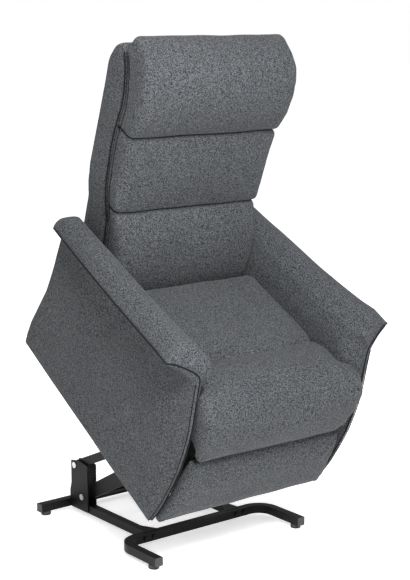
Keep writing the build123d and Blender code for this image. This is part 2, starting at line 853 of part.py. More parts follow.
with BuildPart() as back_torque_tube:
    rod_along_x(-bracket_x - side_plate, bracket_x + side_plate, back_pivot, back_tube_r)
    for x_from in (back_drive_x - lug_gap / 2 - lug, back_drive_x + lug_gap / 2):
        plate(x_from, lug, [(back_pivot, back_tube_r + 6), (back_pin, 15.0)])
        slot_through(x_from, lug, back_slot, drive_pin + slot_room)
    rod_along_x(-bracket_x - side_plate, bracket_x + side_plate, back_pivot, back_tube_r - 2, Mode.SUBTRACT)
keep(back_torque_tube, "back_torque_tube")

# ---- legrest ---------------------------------------------------------------------------------------
with BuildPart() as legrest_torque_tube:
    rod_along_x(-drive_x, drive_x, legrest_a, 10.0)
    plate(legrest_drive_x - 3, lug, [(legrest_a, 15.0), (legrest_pin, 13.0)])
    slot_through(legrest_drive_x - 3, lug, legrest_slot, rivet + slot_room)
    rod_along_x(-drive_x, drive_x, legrest_a, 8.0, Mode.SUBTRACT)
keep(legrest_torque_tube, "legrest_torque_tube")



def rivet_out(x_from, x_end, spot):
    """A stud riveted into one plate that holds the next one outwards."""
    rod_along_x(x_from, x_end + 0.3, spot, rivet)
    rod_along_x(x_end + 0.3, x_end + 1.8, spot, rivet + 2.5)


def rivet_in(spot):
    """A stud from the drive layer inwards, that holds a guide link."""
    rod_along_x(guide_x - 0.3, drive_x + link_plate, spot, rivet)
    rod_along_x(guide_x - 1.8, guide_x - 0.3, spot, rivet + 2.5)


with BuildPart() as legrest_drive_links:
    plate(drive_x, link_plate, [(legrest_a, 13.0), (legrest_e, 11.0)])
    plate(drive_x, link_plate, [(legrest_e, 11.0), (legrest_d, 10.0)])
    rivet_out(drive_x, carry_x + link_plate, legrest_e)
    rivet_in(legrest_d)
    mirror(about=Plane.YZ)
keep(legrest_drive_links, "legrest_drive_links")

with BuildPart() as legrest_carry_links:
    plate(carry_x, link_plate, [(legrest_k, 10.0), (legrest_e, 11.0)])
    plate(carry_x, link_plate, [(legrest_e, 11.0), (legrest_g, 11.0)])
    rod_along_x(carry_x, carry_x + link_plate, legrest_e, rivet + running, Mode.SUBTRACT)
    rod_along_x(carry_x, carry_x + link_plate, legrest_g, rivet + running, Mode.SUBTRACT)
    rivet_out(carry_x, control_x + link_plate, legrest_k)
    mirror(about=Plane.YZ)
keep(legrest_carry_links, "legrest_carry_links")

with BuildPart() as legrest_control_links:
    plate(control_x, link_plate, [(legrest_c, 10.0), (legrest_k, 13.0)])
    rod_along_x(control_x, control_x + link_plate, legrest_c, rivet + running, Mode.SUBTRACT)
    slot_through(control_x, link_plate, control_slot, rivet + slot_room)
    mirror(about=Plane.YZ)
keep(legrest_control_links, "legrest_control_links")

with BuildPart() as legrest_guide_links:
    plate(guide_x, link_plate, [(legrest_d, 10.0), (legrest_h, 11.0)])
    rod_along_x(guide_x, guide_x + link_plate, legrest_d, rivet + running, Mode.SUBTRACT)
    slot_through(guide_x, link_plate, guide_slot, rivet + slot_room)
    mirror(about=Plane.YZ)
keep(legrest_guide_links, "legrest_guide_links")

board_front_y = legrest_front_y + legrest_pad
board_back_y = board_front_y + legrest_board
with BuildPart() as legrest_board_piece:
    slab(
        (-legrest_half + 6, board_front_y, legrest_bottom + 8),
        (legrest_half - 6, board_back_y, legrest_top - 6),
    )
keep(legrest_board_piece, "legrest_board")

with BuildPart() as legrest_cushion:
    outline(
        -legrest_half,
        2 * legrest_half,
        [
            (board_front_y, legrest_bottom),
            (board_front_y, legrest_top),
            (legrest_front_y + 14, legrest_top),
            (legrest_front_y, 375),
            (legrest_front_y + 10, 272),
            (legrest_front_y + 22, legrest_bottom),
        ],
    )
keep(legrest_cushion, "legrest_cushion")

with BuildPart() as legrest_brackets:
    plate(
        drive_x,
        link_plate,
        [(legrest_g, 11.0), (legrest_h, 10.0), ((board_back_y + 4, legrest_h[1] - 20), 4.0)],
    )
    slab((drive_x - 24, board_back_y, legrest_h[1] - 24), (drive_x + 5, board_back_y + 3, legrest_g[1] + 11))
    slab(
        (drive_x - 40, board_back_y - 60, legrest_h[1] - 40),
        (drive_x + 40, board_back_y, legrest_g[1] + 40),
        mode=Mode.SUBTRACT,
    )
    rivet_out(drive_x, carry_x + link_plate, legrest_g)
    rivet_in(legrest_h)
    mirror(about=Plane.YZ)
keep(legrest_brackets, "legrest_brackets")

# ---- electric drives -------------------------------------------------------------------------------


def drive_plane(clevis, pin, x_middle, at):
    """A plane square to a drive's axis, at a distance from its clevis."""
    angle = heading(clevis, pin)
    y, z = polar(clevis, at, angle)
    along = (0, cos(radians(angle)), sin(radians(angle)))
    return Plane(origin=(x_middle, y, z), x_dir=(1, 0, 0), z_dir=along)


def drive_housing(clevis, pin, x_middle, motor_span, tube_end, bore_start, hinged=True):
    """Motor block, gear head and outer tube of one drive."""
    for radius, start, end in (
        (motor_r, motor_span[0], motor_span[1]),
        (cylinder_r, motor_span[1], tube_end),
    ):
        with BuildSketch(drive_plane(clevis, pin, x_middle, start)) as face:
            Circle(radius)
        extrude(face.sketch, amount=end - start)
    with BuildSketch(drive_plane(clevis, pin, x_middle, motor_span[0] - 30)) as face:
        Rectangle(lug_gap - 2, 22)
    extrude(face.sketch, amount=31)
    if hinged:
        rod_along_x(x_middle - lug_gap / 2 + 1, x_middle + lug_gap / 2 - 1, clevis, 11)
        rod_along_x(x_middle - lug_gap, x_middle + lug_gap, clevis, drive_pin + running, Mode.SUBTRACT)
    with BuildSketch(drive_plane(clevis, pin, x_middle, bore_start)) as face:
        Circle(rod_r + running)
    extrude(face.sketch, amount=tube_end - bore_start + 1, mode=Mode.SUBTRACT)


def drive_rod(clevis, pin, x_middle, rod_start, eye_half, pin_r):
    """Chromed rod with an eye and its cross pin."""
    reach = between(clevis, pin)
    with BuildSketch(drive_plane(clevis, pin, x_middle, rod_start)) as face:
        Circle(rod_r)
    extrude(face.sketch, amount=reach - rod_start)
    rod_along_x(x_middle - eye_half, x_middle + eye_half, pin, rod_r + 4)
    rod_along_x(x_middle - eye_half - lug - 2, x_middle + eye_half + lug + 2, pin, pin_r)


with BuildPart() as lift_drive_housing:
    drive_housing(lift_clevis, lift_pin_raised, lift_drive_x, (42, 108), 345, 130)
keep(lift_drive_housing, "lift_drive_housing", BASE)
with BuildPart() as lift_drive_rod:
    drive_rod(lift_clevis, lift_pin_raised, lift_drive_x, 250, lug_gap / 2 - 1, drive_pin)
keep(lift_drive_rod, "lift_drive_rod", BASE)

with BuildPart() as back_drive_housing:
    drive_housing(back_clevis, back_pin, back_drive_x, (35, 115), 265, 60)
keep(back_drive_housing, "back_drive_housing")
with BuildPart() as back_drive_rod:
    drive_rod(back_clevis, back_pin, back_drive_x, 120, lug_gap / 2 - 1, drive_pin)
keep(back_drive_rod, "back_drive_rod")

with BuildPart() as back_clevis_bracket:
    for x_from in (back_drive_x - lug_gap / 2 - lug, back_drive_x + lug_gap / 2):
        plate(x_from, lug, [(back_clevis, 11.0), (front_tube, cross_r + 3)])
        rod_along_x(x_from, x_from + lug, front_tube, cross_r, Mode.SUBTRACT)
        rod_along_x(x_from, x_from + lug, back_clevis, drive_pin, Mode.SUBTRACT)
keep(back_clevis_bracket, "back_clevis_bracket")
with BuildPart() as back_clevis_pin:
    clevis_pin(back_clevis, back_drive_x)
keep(back_clevis_pin, "back_clevis_pin")

legrest_drive_x_rod = legrest_drive_x + 3 + 2 + lug
legrest_mount = (legrest_drive_end, legrest_pin[1])
legrest_reach = between(legrest_mount, legrest_pin)
with BuildPart() as legrest_drive_housing:
    drive_housing(
        legrest_mount, legrest_pin, legrest_drive_x_rod, (30, 95), legrest_reach - 95, 50, hinged=False
    )
    slab(
        (legrest_drive_x_rod - 10, legrest_drive_end - 10, legrest_pin[1] - 11),
        (legrest_drive_x_rod + 10, rear_tube[0] + cross_r + 5, rear_tube[1] + cross_r + 3),
    )
    rod_along_x(
        legrest_drive_x_rod - 12, legrest_drive_x_rod + 12, rear_tube, cross_r, Mode.SUBTRACT
    )
keep(legrest_drive_housing, "legrest_drive_housing")
with BuildPart() as legrest_drive_rod:
    with BuildSketch(drive_plane(legrest_mount, legrest_pin, legrest_drive_x_rod, 125)):
        Circle(rod_r)
    extrude(amount=legrest_reach - 125)
    rod_along_x(legrest_drive_x_rod - lug, legrest_drive_x_rod + lug, legrest_pin, rod_r + 3)
    rod_along_x(legrest_drive_x - 5, legrest_drive_x_rod, legrest_pin, rivet)
keep(legrest_drive_rod, "legrest_drive_rod")

# ---- control box, handset and its pocket --------------------------------------------------------
with BuildPart() as control_box:
    slab((-side_plate_x, 215, rail_bottom - 48), (-side_plate_x + 74, 315, rail_bottom - 12))
    fillet(control_box.edges().filter_by(Axis.Z).sort_by(Axis.X)[2:], 5)
    for step in range(3):
        with BuildSketch(Plane.XZ.offset(-315)):
            with Locations((-side_plate_x + 17 + 20 * step, rail_bottom - 30)):
                Circle(5)
        extrude(amount=9, mode=Mode.SUBTRACT)
keep(control_box, "control_box")

thick, wide, tall = handset_size
pocket_wall = 3.0
pocket_x = arm_outer
pocket_tall = 92.0
with BuildPart() as handset_pocket:
    slab(
        (pocket_x, handset_y - wide / 2 - 9, handset_z - 16),
        (pocket_x + thick + 2 * pocket_wall + 2, handset_y + wide / 2 + 9, handset_z + pocket_tall),
    )
    slab(
        (pocket_x + pocket_wall, handset_y - wide / 2 - 1, handset_z),
        (pocket_x + pocket_wall + thick + 1, handset_y + wide / 2 + 1, handset_z + pocket_tall),
        mode=Mode.SUBTRACT,
    )
keep(handset_pocket, "handset_pocket")

handset_x = pocket_x + pocket_wall + 0.5
key_thick, key_wide, key_tall = key_size
key_pivot_x = handset_x + thick - 2.0
key_heights = (handset_z + pocket_tall + 49, handset_z + pocket_tall + 17)


def key_bar(height, radius, mode=Mode.ADD):
    """The round bar that a rocker key tips on."""
    half = key_wide / 2 + 3
    with BuildSketch(Plane(origin=(key_pivot_x, handset_y - half, height), x_dir=(1, 0, 0), z_dir=(0, 1, 0))) as face:
        Circle(radius)
    extrude(face.sketch, amount=2 * half, mode=mode)


with BuildPart() as handset_body:
    slab(
        (handset_x, handset_y - wide / 2, handset_z),
        (handset_x + thick, handset_y + wide / 2, handset_z + tall),
    )
    fillet(handset_body.edges().filter_by(Axis.X), 8)
    for height in key_heights:
        slab(
            (handset_x + thick - 6, handset_y - key_wide / 2 - 0.6, height - key_tall / 2 - 0.6),
            (handset_x + thick, handset_y + key_wide / 2 + 0.6, height + key_tall / 2 + 0.6),
            mode=Mode.SUBTRACT,
        )
        key_bar(height, key_pin + running, Mode.SUBTRACT)
keep(handset_body, "handset_body")

for height, label in zip(key_heights, ("handset_key_back", "handset_key_lift")):
    with BuildPart() as key:
        slab(
            (key_pivot_x - 2.5, handset_y - key_wide / 2, height - key_tall / 2),
            (key_pivot_x - 2.5 + key_thick, handset_y + key_wide / 2, height + key_tall / 2),
        )
        key_bar(height, key_pin)
    keep(key, label)

# ---- stand the chair with its box centred over the origin, and write it ----------------------------
front = min(piece.bounding_box().min.Y for piece in pieces.values())
rear = max(piece.bounding_box().max.Y for piece in pieces.values())
centre_y = (front + rear) / 2
os.makedirs("parts", exist_ok=True)
for label, piece in pieces.items():
    placed = piece.moved(Location((0, -centre_y, 0)))
    placed.label = label
    export_step(placed, f"parts/{label}.step")
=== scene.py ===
"""Lift recliner chair: the visible model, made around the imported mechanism."""

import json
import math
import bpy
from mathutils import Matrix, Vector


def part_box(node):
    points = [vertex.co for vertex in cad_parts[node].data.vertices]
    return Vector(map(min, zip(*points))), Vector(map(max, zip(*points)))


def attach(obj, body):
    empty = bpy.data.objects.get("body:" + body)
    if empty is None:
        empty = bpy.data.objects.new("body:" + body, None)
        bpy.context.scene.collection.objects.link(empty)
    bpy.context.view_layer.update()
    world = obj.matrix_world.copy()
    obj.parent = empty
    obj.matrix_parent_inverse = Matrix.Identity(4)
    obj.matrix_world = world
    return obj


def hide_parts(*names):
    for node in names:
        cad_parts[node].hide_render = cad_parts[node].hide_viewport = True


bl_info = {
    "name": "Lift recliner chair",
    "version": (1, 0, 0),
    "blender": (4, 5, 0),
    "location": "3D View > Sidebar > Chair",
    "description": "Upholsters and finishes a lift recliner chair on its packed mechanism",
    "category": "Add Mesh",
}

import bmesh
import bpy
import numpy as np
from bpy.props import FloatProperty, FloatVectorProperty, IntProperty, PointerProperty
from mathutils import Matrix, Vector, noise

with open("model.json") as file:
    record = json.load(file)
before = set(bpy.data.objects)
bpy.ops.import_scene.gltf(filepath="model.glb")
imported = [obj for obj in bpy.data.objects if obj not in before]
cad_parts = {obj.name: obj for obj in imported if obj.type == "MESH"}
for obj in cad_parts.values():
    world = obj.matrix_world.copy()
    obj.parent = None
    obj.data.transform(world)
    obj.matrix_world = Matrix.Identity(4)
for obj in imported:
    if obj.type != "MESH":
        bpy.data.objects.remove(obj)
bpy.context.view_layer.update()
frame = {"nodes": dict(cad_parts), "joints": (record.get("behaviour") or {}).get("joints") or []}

# ---- the chair's own frame ---------------------------------------------------------------
# Seat pieces are shaped as they stand in the sitting chair, and tilted with the mechanism.


def middle_of(node):
    low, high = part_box(node)
    return (low + high) / 2


REAR_BAR_Y = 0.440
ROW_SHIFT = middle_of("base_rear_bar").y - REAR_BAR_Y
DRIVE_AXIS = next(j["axis"] for j in frame["joints"] if j["name"] == "legrest_drive_stroke")
TILT = math.atan2(DRIVE_AXIS[2], DRIVE_AXIS[1])
SEATED = Matrix.Translation((0, ROW_SHIFT, 0)) @ Matrix.Rotation(TILT, 4, "X")

HALF_SEAT = 0.252
ARM_OUTER = 0.316
ARM_LOW = 0.224
FIN_INNER = 0.301
FIN_REACH = 0.060


# ---- settings that a user may change ------------------------------------------------------
class ClothSettings(bpy.types.PropertyGroup):
    """Upholstery cloth and stuffing."""

    dark_yarn: FloatVectorProperty(
        name="Dark yarn",
        description="Colour of the darker yarn",
        subtype="COLOR",
        default=(0.0060, 0.0070, 0.0088),
    )
    light_yarn: FloatVectorProperty(
        name="Light yarn",
        description="Colour of the lighter yarn",
        subtype="COLOR",
        default=(0.084, 0.088, 0.093),
    )
    fleck_size: FloatProperty(
        name="Fleck size", description="Size of one fleck of yarn", unit="LENGTH", default=0.0017
    )
    stuffing_voxel: FloatProperty(
        name="Mesh size", description="Mesh size of the stuffed pads", unit="LENGTH", default=0.006
    )
    stuffing_pressure: FloatProperty(
        name="Stuffing pressure", description="How hard the pads are stuffed", default=4.0
    )
    swell_limit: FloatProperty(
        name="Swell limit",
        description="Most that the stuffing may move the cloth",
        unit="LENGTH",
        default=0.016,
    )
    settle_frames: IntProperty(
        name="Settling steps", description="Steps for which each pad settles", default=20
    )


class SteelSettings(bpy.types.PropertyGroup):
    """Finishes of the steel and plastic pieces."""

    paint: FloatVectorProperty(
        name="Paint",
        description="Powder coat of the floor frame",
        subtype="COLOR",
        default=(0.003, 0.003, 0.0034),
    )
    linkage: FloatVectorProperty(
        name="Linkage",
        description="Coat of the seat mechanism",
        subtype="COLOR",
        default=(0.035, 0.035, 0.037),
    )
    zinc: FloatVectorProperty(
        name="Zinc",
        description="Plating of bolts and pins",
        subtype="COLOR",
        default=(0.62, 0.61, 0.58),
    )


class StudioSettings(bpy.types.PropertyGroup):
    """Camera and light."""

    azimuth: FloatProperty(
        name="Azimuth",
        description="Camera direction from the front",
        subtype="ANGLE",
        default=math.radians(-38.4063),
    )
    elevation: FloatProperty(
        name="Elevation",
        description="Camera height angle",
        subtype="ANGLE",
        default=math.radians(10.7663),
    )
    distance: FloatProperty(
        name="Distance", description="From the camera to the chair", unit="LENGTH", default=4.187
    )
    lens: FloatProperty(name="Lens", description="Focal length in millimetres", default=90.16)
    key_power: FloatProperty(
        name="Key light", description="Power of the key light in watts", default=120.0
    )
    sky: FloatProperty(
        name="Sky", description="Strength of the light from the surroundings", default=0.52
    )


# ---- shader arithmetic --------------------------------------------------------------------
class Signal:
    """One output socket that can be used in ordinary arithmetic."""

    def __init__(self, bench, socket):
        self.bench = bench
        self.socket = socket

    def _math(self, operation, first, second):
        return self.bench.node("ShaderNodeMath", {"operation": operation}, {0: first, 1: second})

    def __add__(self, other):
        return self._math("ADD", self, other)

    def __mul__(self, other):
        return self._math("MULTIPLY", self, other)

    __radd__ = __add__
    __rmul__ = __mul__


class Bench:
    """Builds one material node by node."""

    def __init__(self, name):
        self.material = bpy.data.materials.new(name)
        self.material.use_nodes = True
        self.tree = self.material.node_tree
        self.tree.nodes.clear()

    def node(self, kind, settings=None, values=None, output=0):
        made = self.tree.nodes.new(kind)
        for key, value in (settings or {}).items():
            if key == "stops":
                ramp = made.color_ramp
                for index, (place, colour) in enumerate(value):
                    stop = ramp.elements[index] if index < 2 else ramp.elements.new(place)
                    stop.position = place
                    stop.color = (*colour, 1.0)
            else:
                setattr(made, key, value)
        for key, value in (values or {}).items():
            if isinstance(value, Signal):
                self.tree.links.new(value.socket, made.inputs[key])
            else:
                made.inputs[key].default_value = value
        return Signal(self, made.outputs[output]) if len(made.outputs) else None

    def place(self):
        return self.node("ShaderNodeTexCoord", output="Object")

    def noise(self, scale, detail, roughness, place):
        values = {"Vector": place, "Scale": scale, "Detail": detail, "Roughness": roughness}
        return self.node("ShaderNodeTexNoise", {}, values)

    def cells(self, scale, place):
        return self.node("ShaderNodeTexVoronoi", {}, {"Vector": place, "Scale": scale})

    def ramp(self, factor, *stops):
        return self.node("ShaderNodeValToRGB", {"stops": stops}, {"Fac": factor})

    def blend(self, factor, first, second):
        values = {0: factor, 6: first, 7: second}
        return self.node("ShaderNodeMix", {"data_type": "RGBA"}, values, output=2)

    def bump(self, height, strength, distance):
        return self.node(
            "ShaderNodeBump", {}, {"Height": height, "Strength": strength, "Distance": distance}
        )

    def finish(self, **values):
        sockets = {key.replace("_", " "): value for key, value in values.items()}
        shader = self.node("ShaderNodeBsdfPrincipled", {}, sockets)
        self.node("ShaderNodeOutputMaterial", {}, {"Surface": shader})
        return self.material


def rgba(colour, gain=1.0):
    return (colour[0] * gain, colour[1] * gain, colour[2] * gain, 1.0)


def woven_cloth(name, gain=1.0):
    """Heathered woven cloth: light and dark yarns, slubs and a slow change of tone."""
    settings = bpy.context.scene.chair_cloth
    bench = Bench(name)
    place = bench.place()
    count = 1.0 / settings.fleck_size
    flecks = bench.noise(count, 1.0, 0.6, place)
    slubs = bench.noise(count * 0.45, 1.0, 0.5, place)
    drift = bench.noise(5.0, 2.0, 0.5, place)
    mixture = bench.ramp(flecks * 0.62 + slubs * 0.38, (0.42, (0, 0, 0)), (0.62, (1, 1, 1)))
    toned = mixture * (drift * 0.30 + 0.85)
    colour = bench.blend(toned, rgba(settings.dark_yarn, gain), rgba(settings.light_yarn, gain))
    weave = bench.cells(count * 1.25, place)
    height = weave * 0.6 + flecks * 0.8
    return bench.finish(
        Base_Color=colour,
        Roughness=0.93,
        Sheen_Weight=0.05,
        Sheen_Roughness=0.45,
        Specular_IOR_Level=0.12,
        Normal=bench.bump(height, 0.55, 0.0009),
    )


def powder_coat(name, colour, roughness=0.46):
    bench = Bench(name)
    place = bench.place()
    peel = bench.noise(900.0, 2.0, 0.5, place)
    scuffs = bench.noise(22.0, 5.0, 0.65, place)
    worn = bench.ramp(scuffs, (0.62, (0, 0, 0)), (0.80, (1, 1, 1)))
    return bench.finish(
        Base_Color=bench.blend(worn * 0.35, rgba(colour), rgba(colour, 2.4)),
        Roughness=worn * 0.14 + (peel * 0.08 + roughness),
        Specular_IOR_Level=0.14,
        Normal=bench.bump(peel, 0.12, 0.0004),
    )


def plated_steel(name, colour, roughness=0.30):
    bench = Bench(name)
    place = bench.place()
    grain = bench.noise(260.0, 3.0, 0.6, place)
    stains = bench.noise(34.0, 3.0, 0.6, place)
    return bench.finish(
        Base_Color=bench.blend(stains * 0.6, rgba(colour), rgba(colour, 0.62)),
        Metallic=1.0,
        Roughness=grain * 0.18 + (stains * 0.12 + roughness),
        Normal=bench.bump(grain, 0.10, 0.0002),
    )


def moulded_plastic(name, colour, roughness=0.48):
    bench = Bench(name)
    place = bench.place()
    grain = bench.cells(1400.0, place)
    tone = bench.noise(40.0, 3.0, 0.5, place)
    return bench.finish(
        Base_Color=bench.blend(tone * 0.5, rgba(colour), rgba(colour, 1.5)),
        Roughness=tone * 0.10 + roughness,
        Normal=bench.bump(grain, 0.18, 0.0002),
    )


def pad_rubber(name):
    bench = Bench(name)
    place = bench.place()
    dust = bench.noise(120.0, 4.0, 0.7, place)
    return bench.finish(
        Base_Color=bench.blend(dust * 0.4, (0.012, 0.012, 0.012, 1.0), (0.05, 0.05, 0.048, 1.0)),
        Roughness=dust * 0.15 + 0.75,
        Normal=bench.bump(dust, 0.2, 0.0004),
    )


def plywood(name):
    bench = Bench(name)
    place = bench.place()
    stretched = bench.node("ShaderNodeMapping", {}, {"Vector": place, "Scale": (6.0, 60.0, 60.0)})
    grain = bench.noise(3.0, 5.0, 0.6, stretched)
    pores = bench.noise(160.0, 2.0, 0.6, place)
    colour = bench.ramp(grain, (0.35, (0.34, 0.21, 0.11)), (0.65, (0.56, 0.40, 0.24)))
    return bench.finish(
        Base_Color=colour,
        Roughness=pores * 0.2 + 0.6,
        Normal=bench.bump(grain * 0.6 + pores * 0.4, 0.2, 0.0004),
    )


def finish_of(name):
    """Each finish is made once, the first time that a piece asks for it."""
    steel = bpy.context.scene.chair_steel
    makers = {
        "chair_cloth": lambda: woven_cloth(name),
        "seam_shadow": lambda: woven_cloth(name, 0.08),
        "painted_gap_shade": lambda: woven_cloth(name, 0.16),
        # Near-black cloth for frame parts seen only through gaps: painted shade in the gaps.
        "powder_black": lambda: powder_coat(name, steel.paint),
        "linkage_coat": lambda: powder_coat(name, steel.linkage, 0.45),
        "zinc_plate": lambda: plated_steel(name, steel.zinc),
        "hard_chrome": lambda: plated_steel(name, (0.80, 0.80, 0.80), 0.08),
        "spring_steel": lambda: plated_steel(name, (0.42, 0.42, 0.43), 0.38),
        "black_plastic": lambda: moulded_plastic(name, (0.016, 0.016, 0.017)),
        "key_plastic": lambda: moulded_plastic(name, (0.30, 0.31, 0.32), 0.40),
        "pad_rubber": lambda: pad_rubber(name),
        "plywood": lambda: plywood(name),
    }
    return bpy.data.materials.get(name) or makers[name]()


# ---- shapes ---------------------------------------------------------------------------------
LOOP_POINTS = 160
CAP_STEPS = 4
CLOTH_BEHAVIOUR = {
    "quality": 4,
    "mass": 0.3,
    "tension_stiffness": 12.0,
    "compression_stiffness": 12.0,
    "bending_stiffness": 2.0,
    "use_pressure": True,
}


def new_piece(name, mesh_data, finish):
    """A smooth mesh piece from (points, faces), in the seated frame."""
    mesh = bpy.data.meshes.new(name)
    points, faces = mesh_data
    mesh.from_pydata([tuple(p) for p in points], [], faces)
    mesh.update()
    piece = bpy.data.objects.new(name, mesh)
    bpy.context.scene.collection.objects.link(piece)
    shell = bmesh.new()
    shell.from_mesh(mesh)
    bmesh.ops.recalc_face_normals(shell, faces=shell.faces)
    shell.to_mesh(mesh)
    shell.free()
    mesh.polygons.foreach_set("use_smooth", [True] * len(mesh.polygons))
    mesh.materials.append(finish_of(finish))
    return piece


def rounded(corners, steps=5):
    """A closed outline from (a, b, radius) corners, each corner rounded by an arc."""
    outline = []
    count = len(corners)
    for index, (a, b, radius) in enumerate(corners):
        here = Vector((a, b))
        before = Vector(corners[index - 1][:2]) - here
        after = Vector(corners[(index + 1) % count][:2]) - here
        angle = before.angle(after)
        if radius <= 0 or angle > math.radians(178):
            outline.append(here)
            continue
        reach = min(radius / math.tan(angle / 2), before.length * 0.48, after.length * 0.48)
        true_radius = reach * math.tan(angle / 2)
        inwards = (before.normalized() + after.normalized()).normalized()
        centre = here + inwards * math.hypot(reach, true_radius)
        start = here + before.normalized() * reach - centre
        end = here + after.normalized() * reach - centre
        sweep = start.angle_signed(end)
        for step in range(steps + 1):
            turn = Matrix.Rotation(-sweep * step / steps, 2)
            outline.append(centre + turn @ start)
    return outline


def resampled(outline, count):
    """Points at equal spacing around a closed outline."""
    loop = [Vector(p) for p in outline] + [Vector(outline[0])]
    lengths = [0.0]
    for start, end in zip(loop, loop[1:]):
        lengths.append(lengths[-1] + (end - start).length)
    spaced, leg = [], 0
    for index in range(count):
        target = lengths[-1] * index / count
        while lengths[leg + 1] < target:
            leg += 1
        part = (target - lengths[leg]) / max(lengths[leg + 1] - lengths[leg], 1e-9)
        spaced.append(loop[leg].lerp(loop[leg + 1], part))
    return spaced


def inset(loop, depth):
    """A closed 2-D loop moved inwards."""
    count = len(loop)
    area = sum(loop[i].cross(loop[(i + 1) % count]) for i in range(count))
    side = 1.0 if area > 0 else -1.0
    moved = []
    for index in range(count):
        run = (loop[(index + 1) % count] - loop[index - 1]).normalized()
        moved.append(loop[index] + Vector((-run.y, run.x)) * side * depth)
    return moved


def skin(rings):
    """Faces over rings of one even number of points, closed by a strip of quads at each end."""
    count = len(rings[0])
    points = [p for ring in rings for p in ring]
    faces = []
    for row in range(len(rings) - 1):
        for i in range(count):
            j = (i + 1) % count
            a, b = row * count, (row + 1) * count
            faces.append((a + i, a + j, b + j, b + i))
    for base in (0, (len(rings) - 1) * count):
        for i in range(count // 2 - 1):
            j = count - 1 - i
            faces.append((base + i, base + i + 1, base + j - 1, base + j))
    return points, faces


def across(outline, half, edge, bow=0.0, width_at=None):
    """A section carried across the chair, with its two ends rounded by a radius."""
    loop = resampled(outline, LOOP_POINTS)
    rings = []
    steps = range(CAP_STEPS + 1)
    stations = [(-1, k) for k in steps]
    stations += [(0, x / 8 - 1) for x in range(1, 16)]
    stations += [(1, CAP_STEPS - k) for k in steps]
    for side, value in stations:
        if side:
            turn = math.pi / 2 * value / CAP_STEPS
            ring = inset(loop, edge * (1 - math.sin(turn)))
            x = side * (half - edge + edge * math.cos(turn))
        else:
            ring = loop
            x = value * (half - edge)
        placed = []
        for y, z in ring:
            scale = width_at(z) / half if width_at else 1.0
            sag = bow * (abs(x) / half) ** 4
            placed.append(Vector((x * scale, y + sag, z)))
        rings.append(placed)
    return skin(rings)


def apply_modifier(piece, modifier):
    bpy.context.view_layer.objects.active = piece
    with bpy.context.temp_override(object=piece, active_object=piece):
        bpy.ops.object.modifier_apply(modifier=modifier.name)


def points_of(piece):
    flat = np.empty(len(piece.data.vertices) * 3)
    piece.data.vertices.foreach_get("co", flat)
    return flat.reshape(-1, 3)


def move_points(piece, points):
    piece.data.vertices.foreach_set("co", np.asarray(points, float).ravel())
    piece.data.update()


def normals_of(piece):
    flat = np.empty(len(piece.data.vertices) * 3)
    piece.data.vertices.foreach_get("normal", flat)
    return flat.reshape(-1, 3)


def remeshed(piece, voxel, rounds=6):
    """An even mesh over the piece, with its edges softened."""
    even = piece.modifiers.new("Even", "REMESH")
    even.mode = "VOXEL"
    even.voxel_size = voxel
    even.use_smooth_shade = True
    apply_modifier(piece, even)
    soften = piece.modifiers.new("Soften", "SMOOTH")
    soften.iterations = rounds
    soften.factor = 0.5
    apply_modifier(piece, soften)


def stuffed(piece, held, swell=1.0):
    """Blows the piece up as stuffed cloth; held(points) says how firmly each is sewn down."""
    scene = bpy.context.scene
    settings = scene.chair_cloth
    before = points_of(piece).copy()
    group = piece.vertex_groups.new(name="Sewn")
    for index, weight in enumerate(held(before)):
        if weight > 0.01:
            group.add([index], float(min(weight, 1.0)), "REPLACE")
    cloth = piece.modifiers.new("Stuffing", "CLOTH")
    for name, value in CLOTH_BEHAVIOUR.items():
        setattr(cloth.settings, name, value)
    cloth.settings.uniform_pressure_force = settings.stuffing_pressure
    cloth.settings.effector_weights.gravity = 0.0
    cloth.settings.vertex_group_mass = "Sewn"
    cloth.collision_settings.use_collision = False
    cloth.point_cache.frame_start = 1
    cloth.point_cache.frame_end = settings.settle_frames
    for step in range(1, settings.settle_frames + 1):
        scene.frame_set(step)
    settled = piece.evaluated_get(bpy.context.evaluated_depsgraph_get())
    flat = np.empty(len(before) * 3)
    settled.data.vertices.foreach_get("co", flat)
    piece.modifiers.remove(cloth)
    piece.vertex_groups.remove(group)
    scene.frame_set(1)
    shift = flat.reshape(-1, 3) - before
    length = np.linalg.norm(shift, axis=1, keepdims=True)
    limit = settings.swell_limit * swell
    eased = limit * np.tanh(length / limit)
    move_points(piece, before + shift * eased / np.maximum(length, 1e-9))


def divided(piece):
    fine = piece.modifiers.new("Fine", "SUBSURF")
    fine.levels = 1
    fine.render_levels = 1
    apply_modifier(piece, fine)
    piece.data.polygons.foreach_set("use_smooth", [True] * len(piece.data.polygons))


def nearest(points, path):
    """Distance of each point from a path, and how far along the path it is."""
    best = np.full(len(points), 1e9)
    along = np.zeros(len(points))
    travelled = 0.0
    for start, end in zip(path, path[1:]):
        a, b = np.array(start), np.array(end)
        run = b - a
        length = np.linalg.norm(run)
        part = np.clip((points - a) @ run / (length * length), 0, 1)
        gap = np.linalg.norm(points - a - part[:, None] * run, axis=1)
        closer = gap < best
        best[closer] = gap[closer]
        along[closer] = travelled + part[closer] * length
        travelled += length
    return best, along


def sewn(piece, path, depth, width, pucker=0.0, pitch=0.03):
    """Presses a seam into the piece along a path, with small puckers beside it."""
    points, normals = points_of(piece).copy(), normals_of(piece)
    gap, along = nearest(points, path)
    press = depth * np.exp(-((gap / width) ** 2))
    if pucker:
        ripple = np.sin(along * 2 * math.pi / pitch + 1.7 * np.sin(along * 23.0))
        press = press + pucker * ripple * np.exp(-gap / (width * 3.2)) * (1 - np.exp(-gap / width))
    move_points(piece, points - normals * press[:, None])


def on_top_of(piece, path):
    """The path laid on the piece's upper surface."""
    points, normals = points_of(piece), normals_of(piece)
    upper = points[normals[:, 2] > 0.4]
    laid = []
    for x, y, _ in path:
        closest = np.argmin((upper[:, 0] - x) ** 2 + (upper[:, 1] - y) ** 2)
        laid.append((x, y, float(upper[closest, 2])))
    return laid


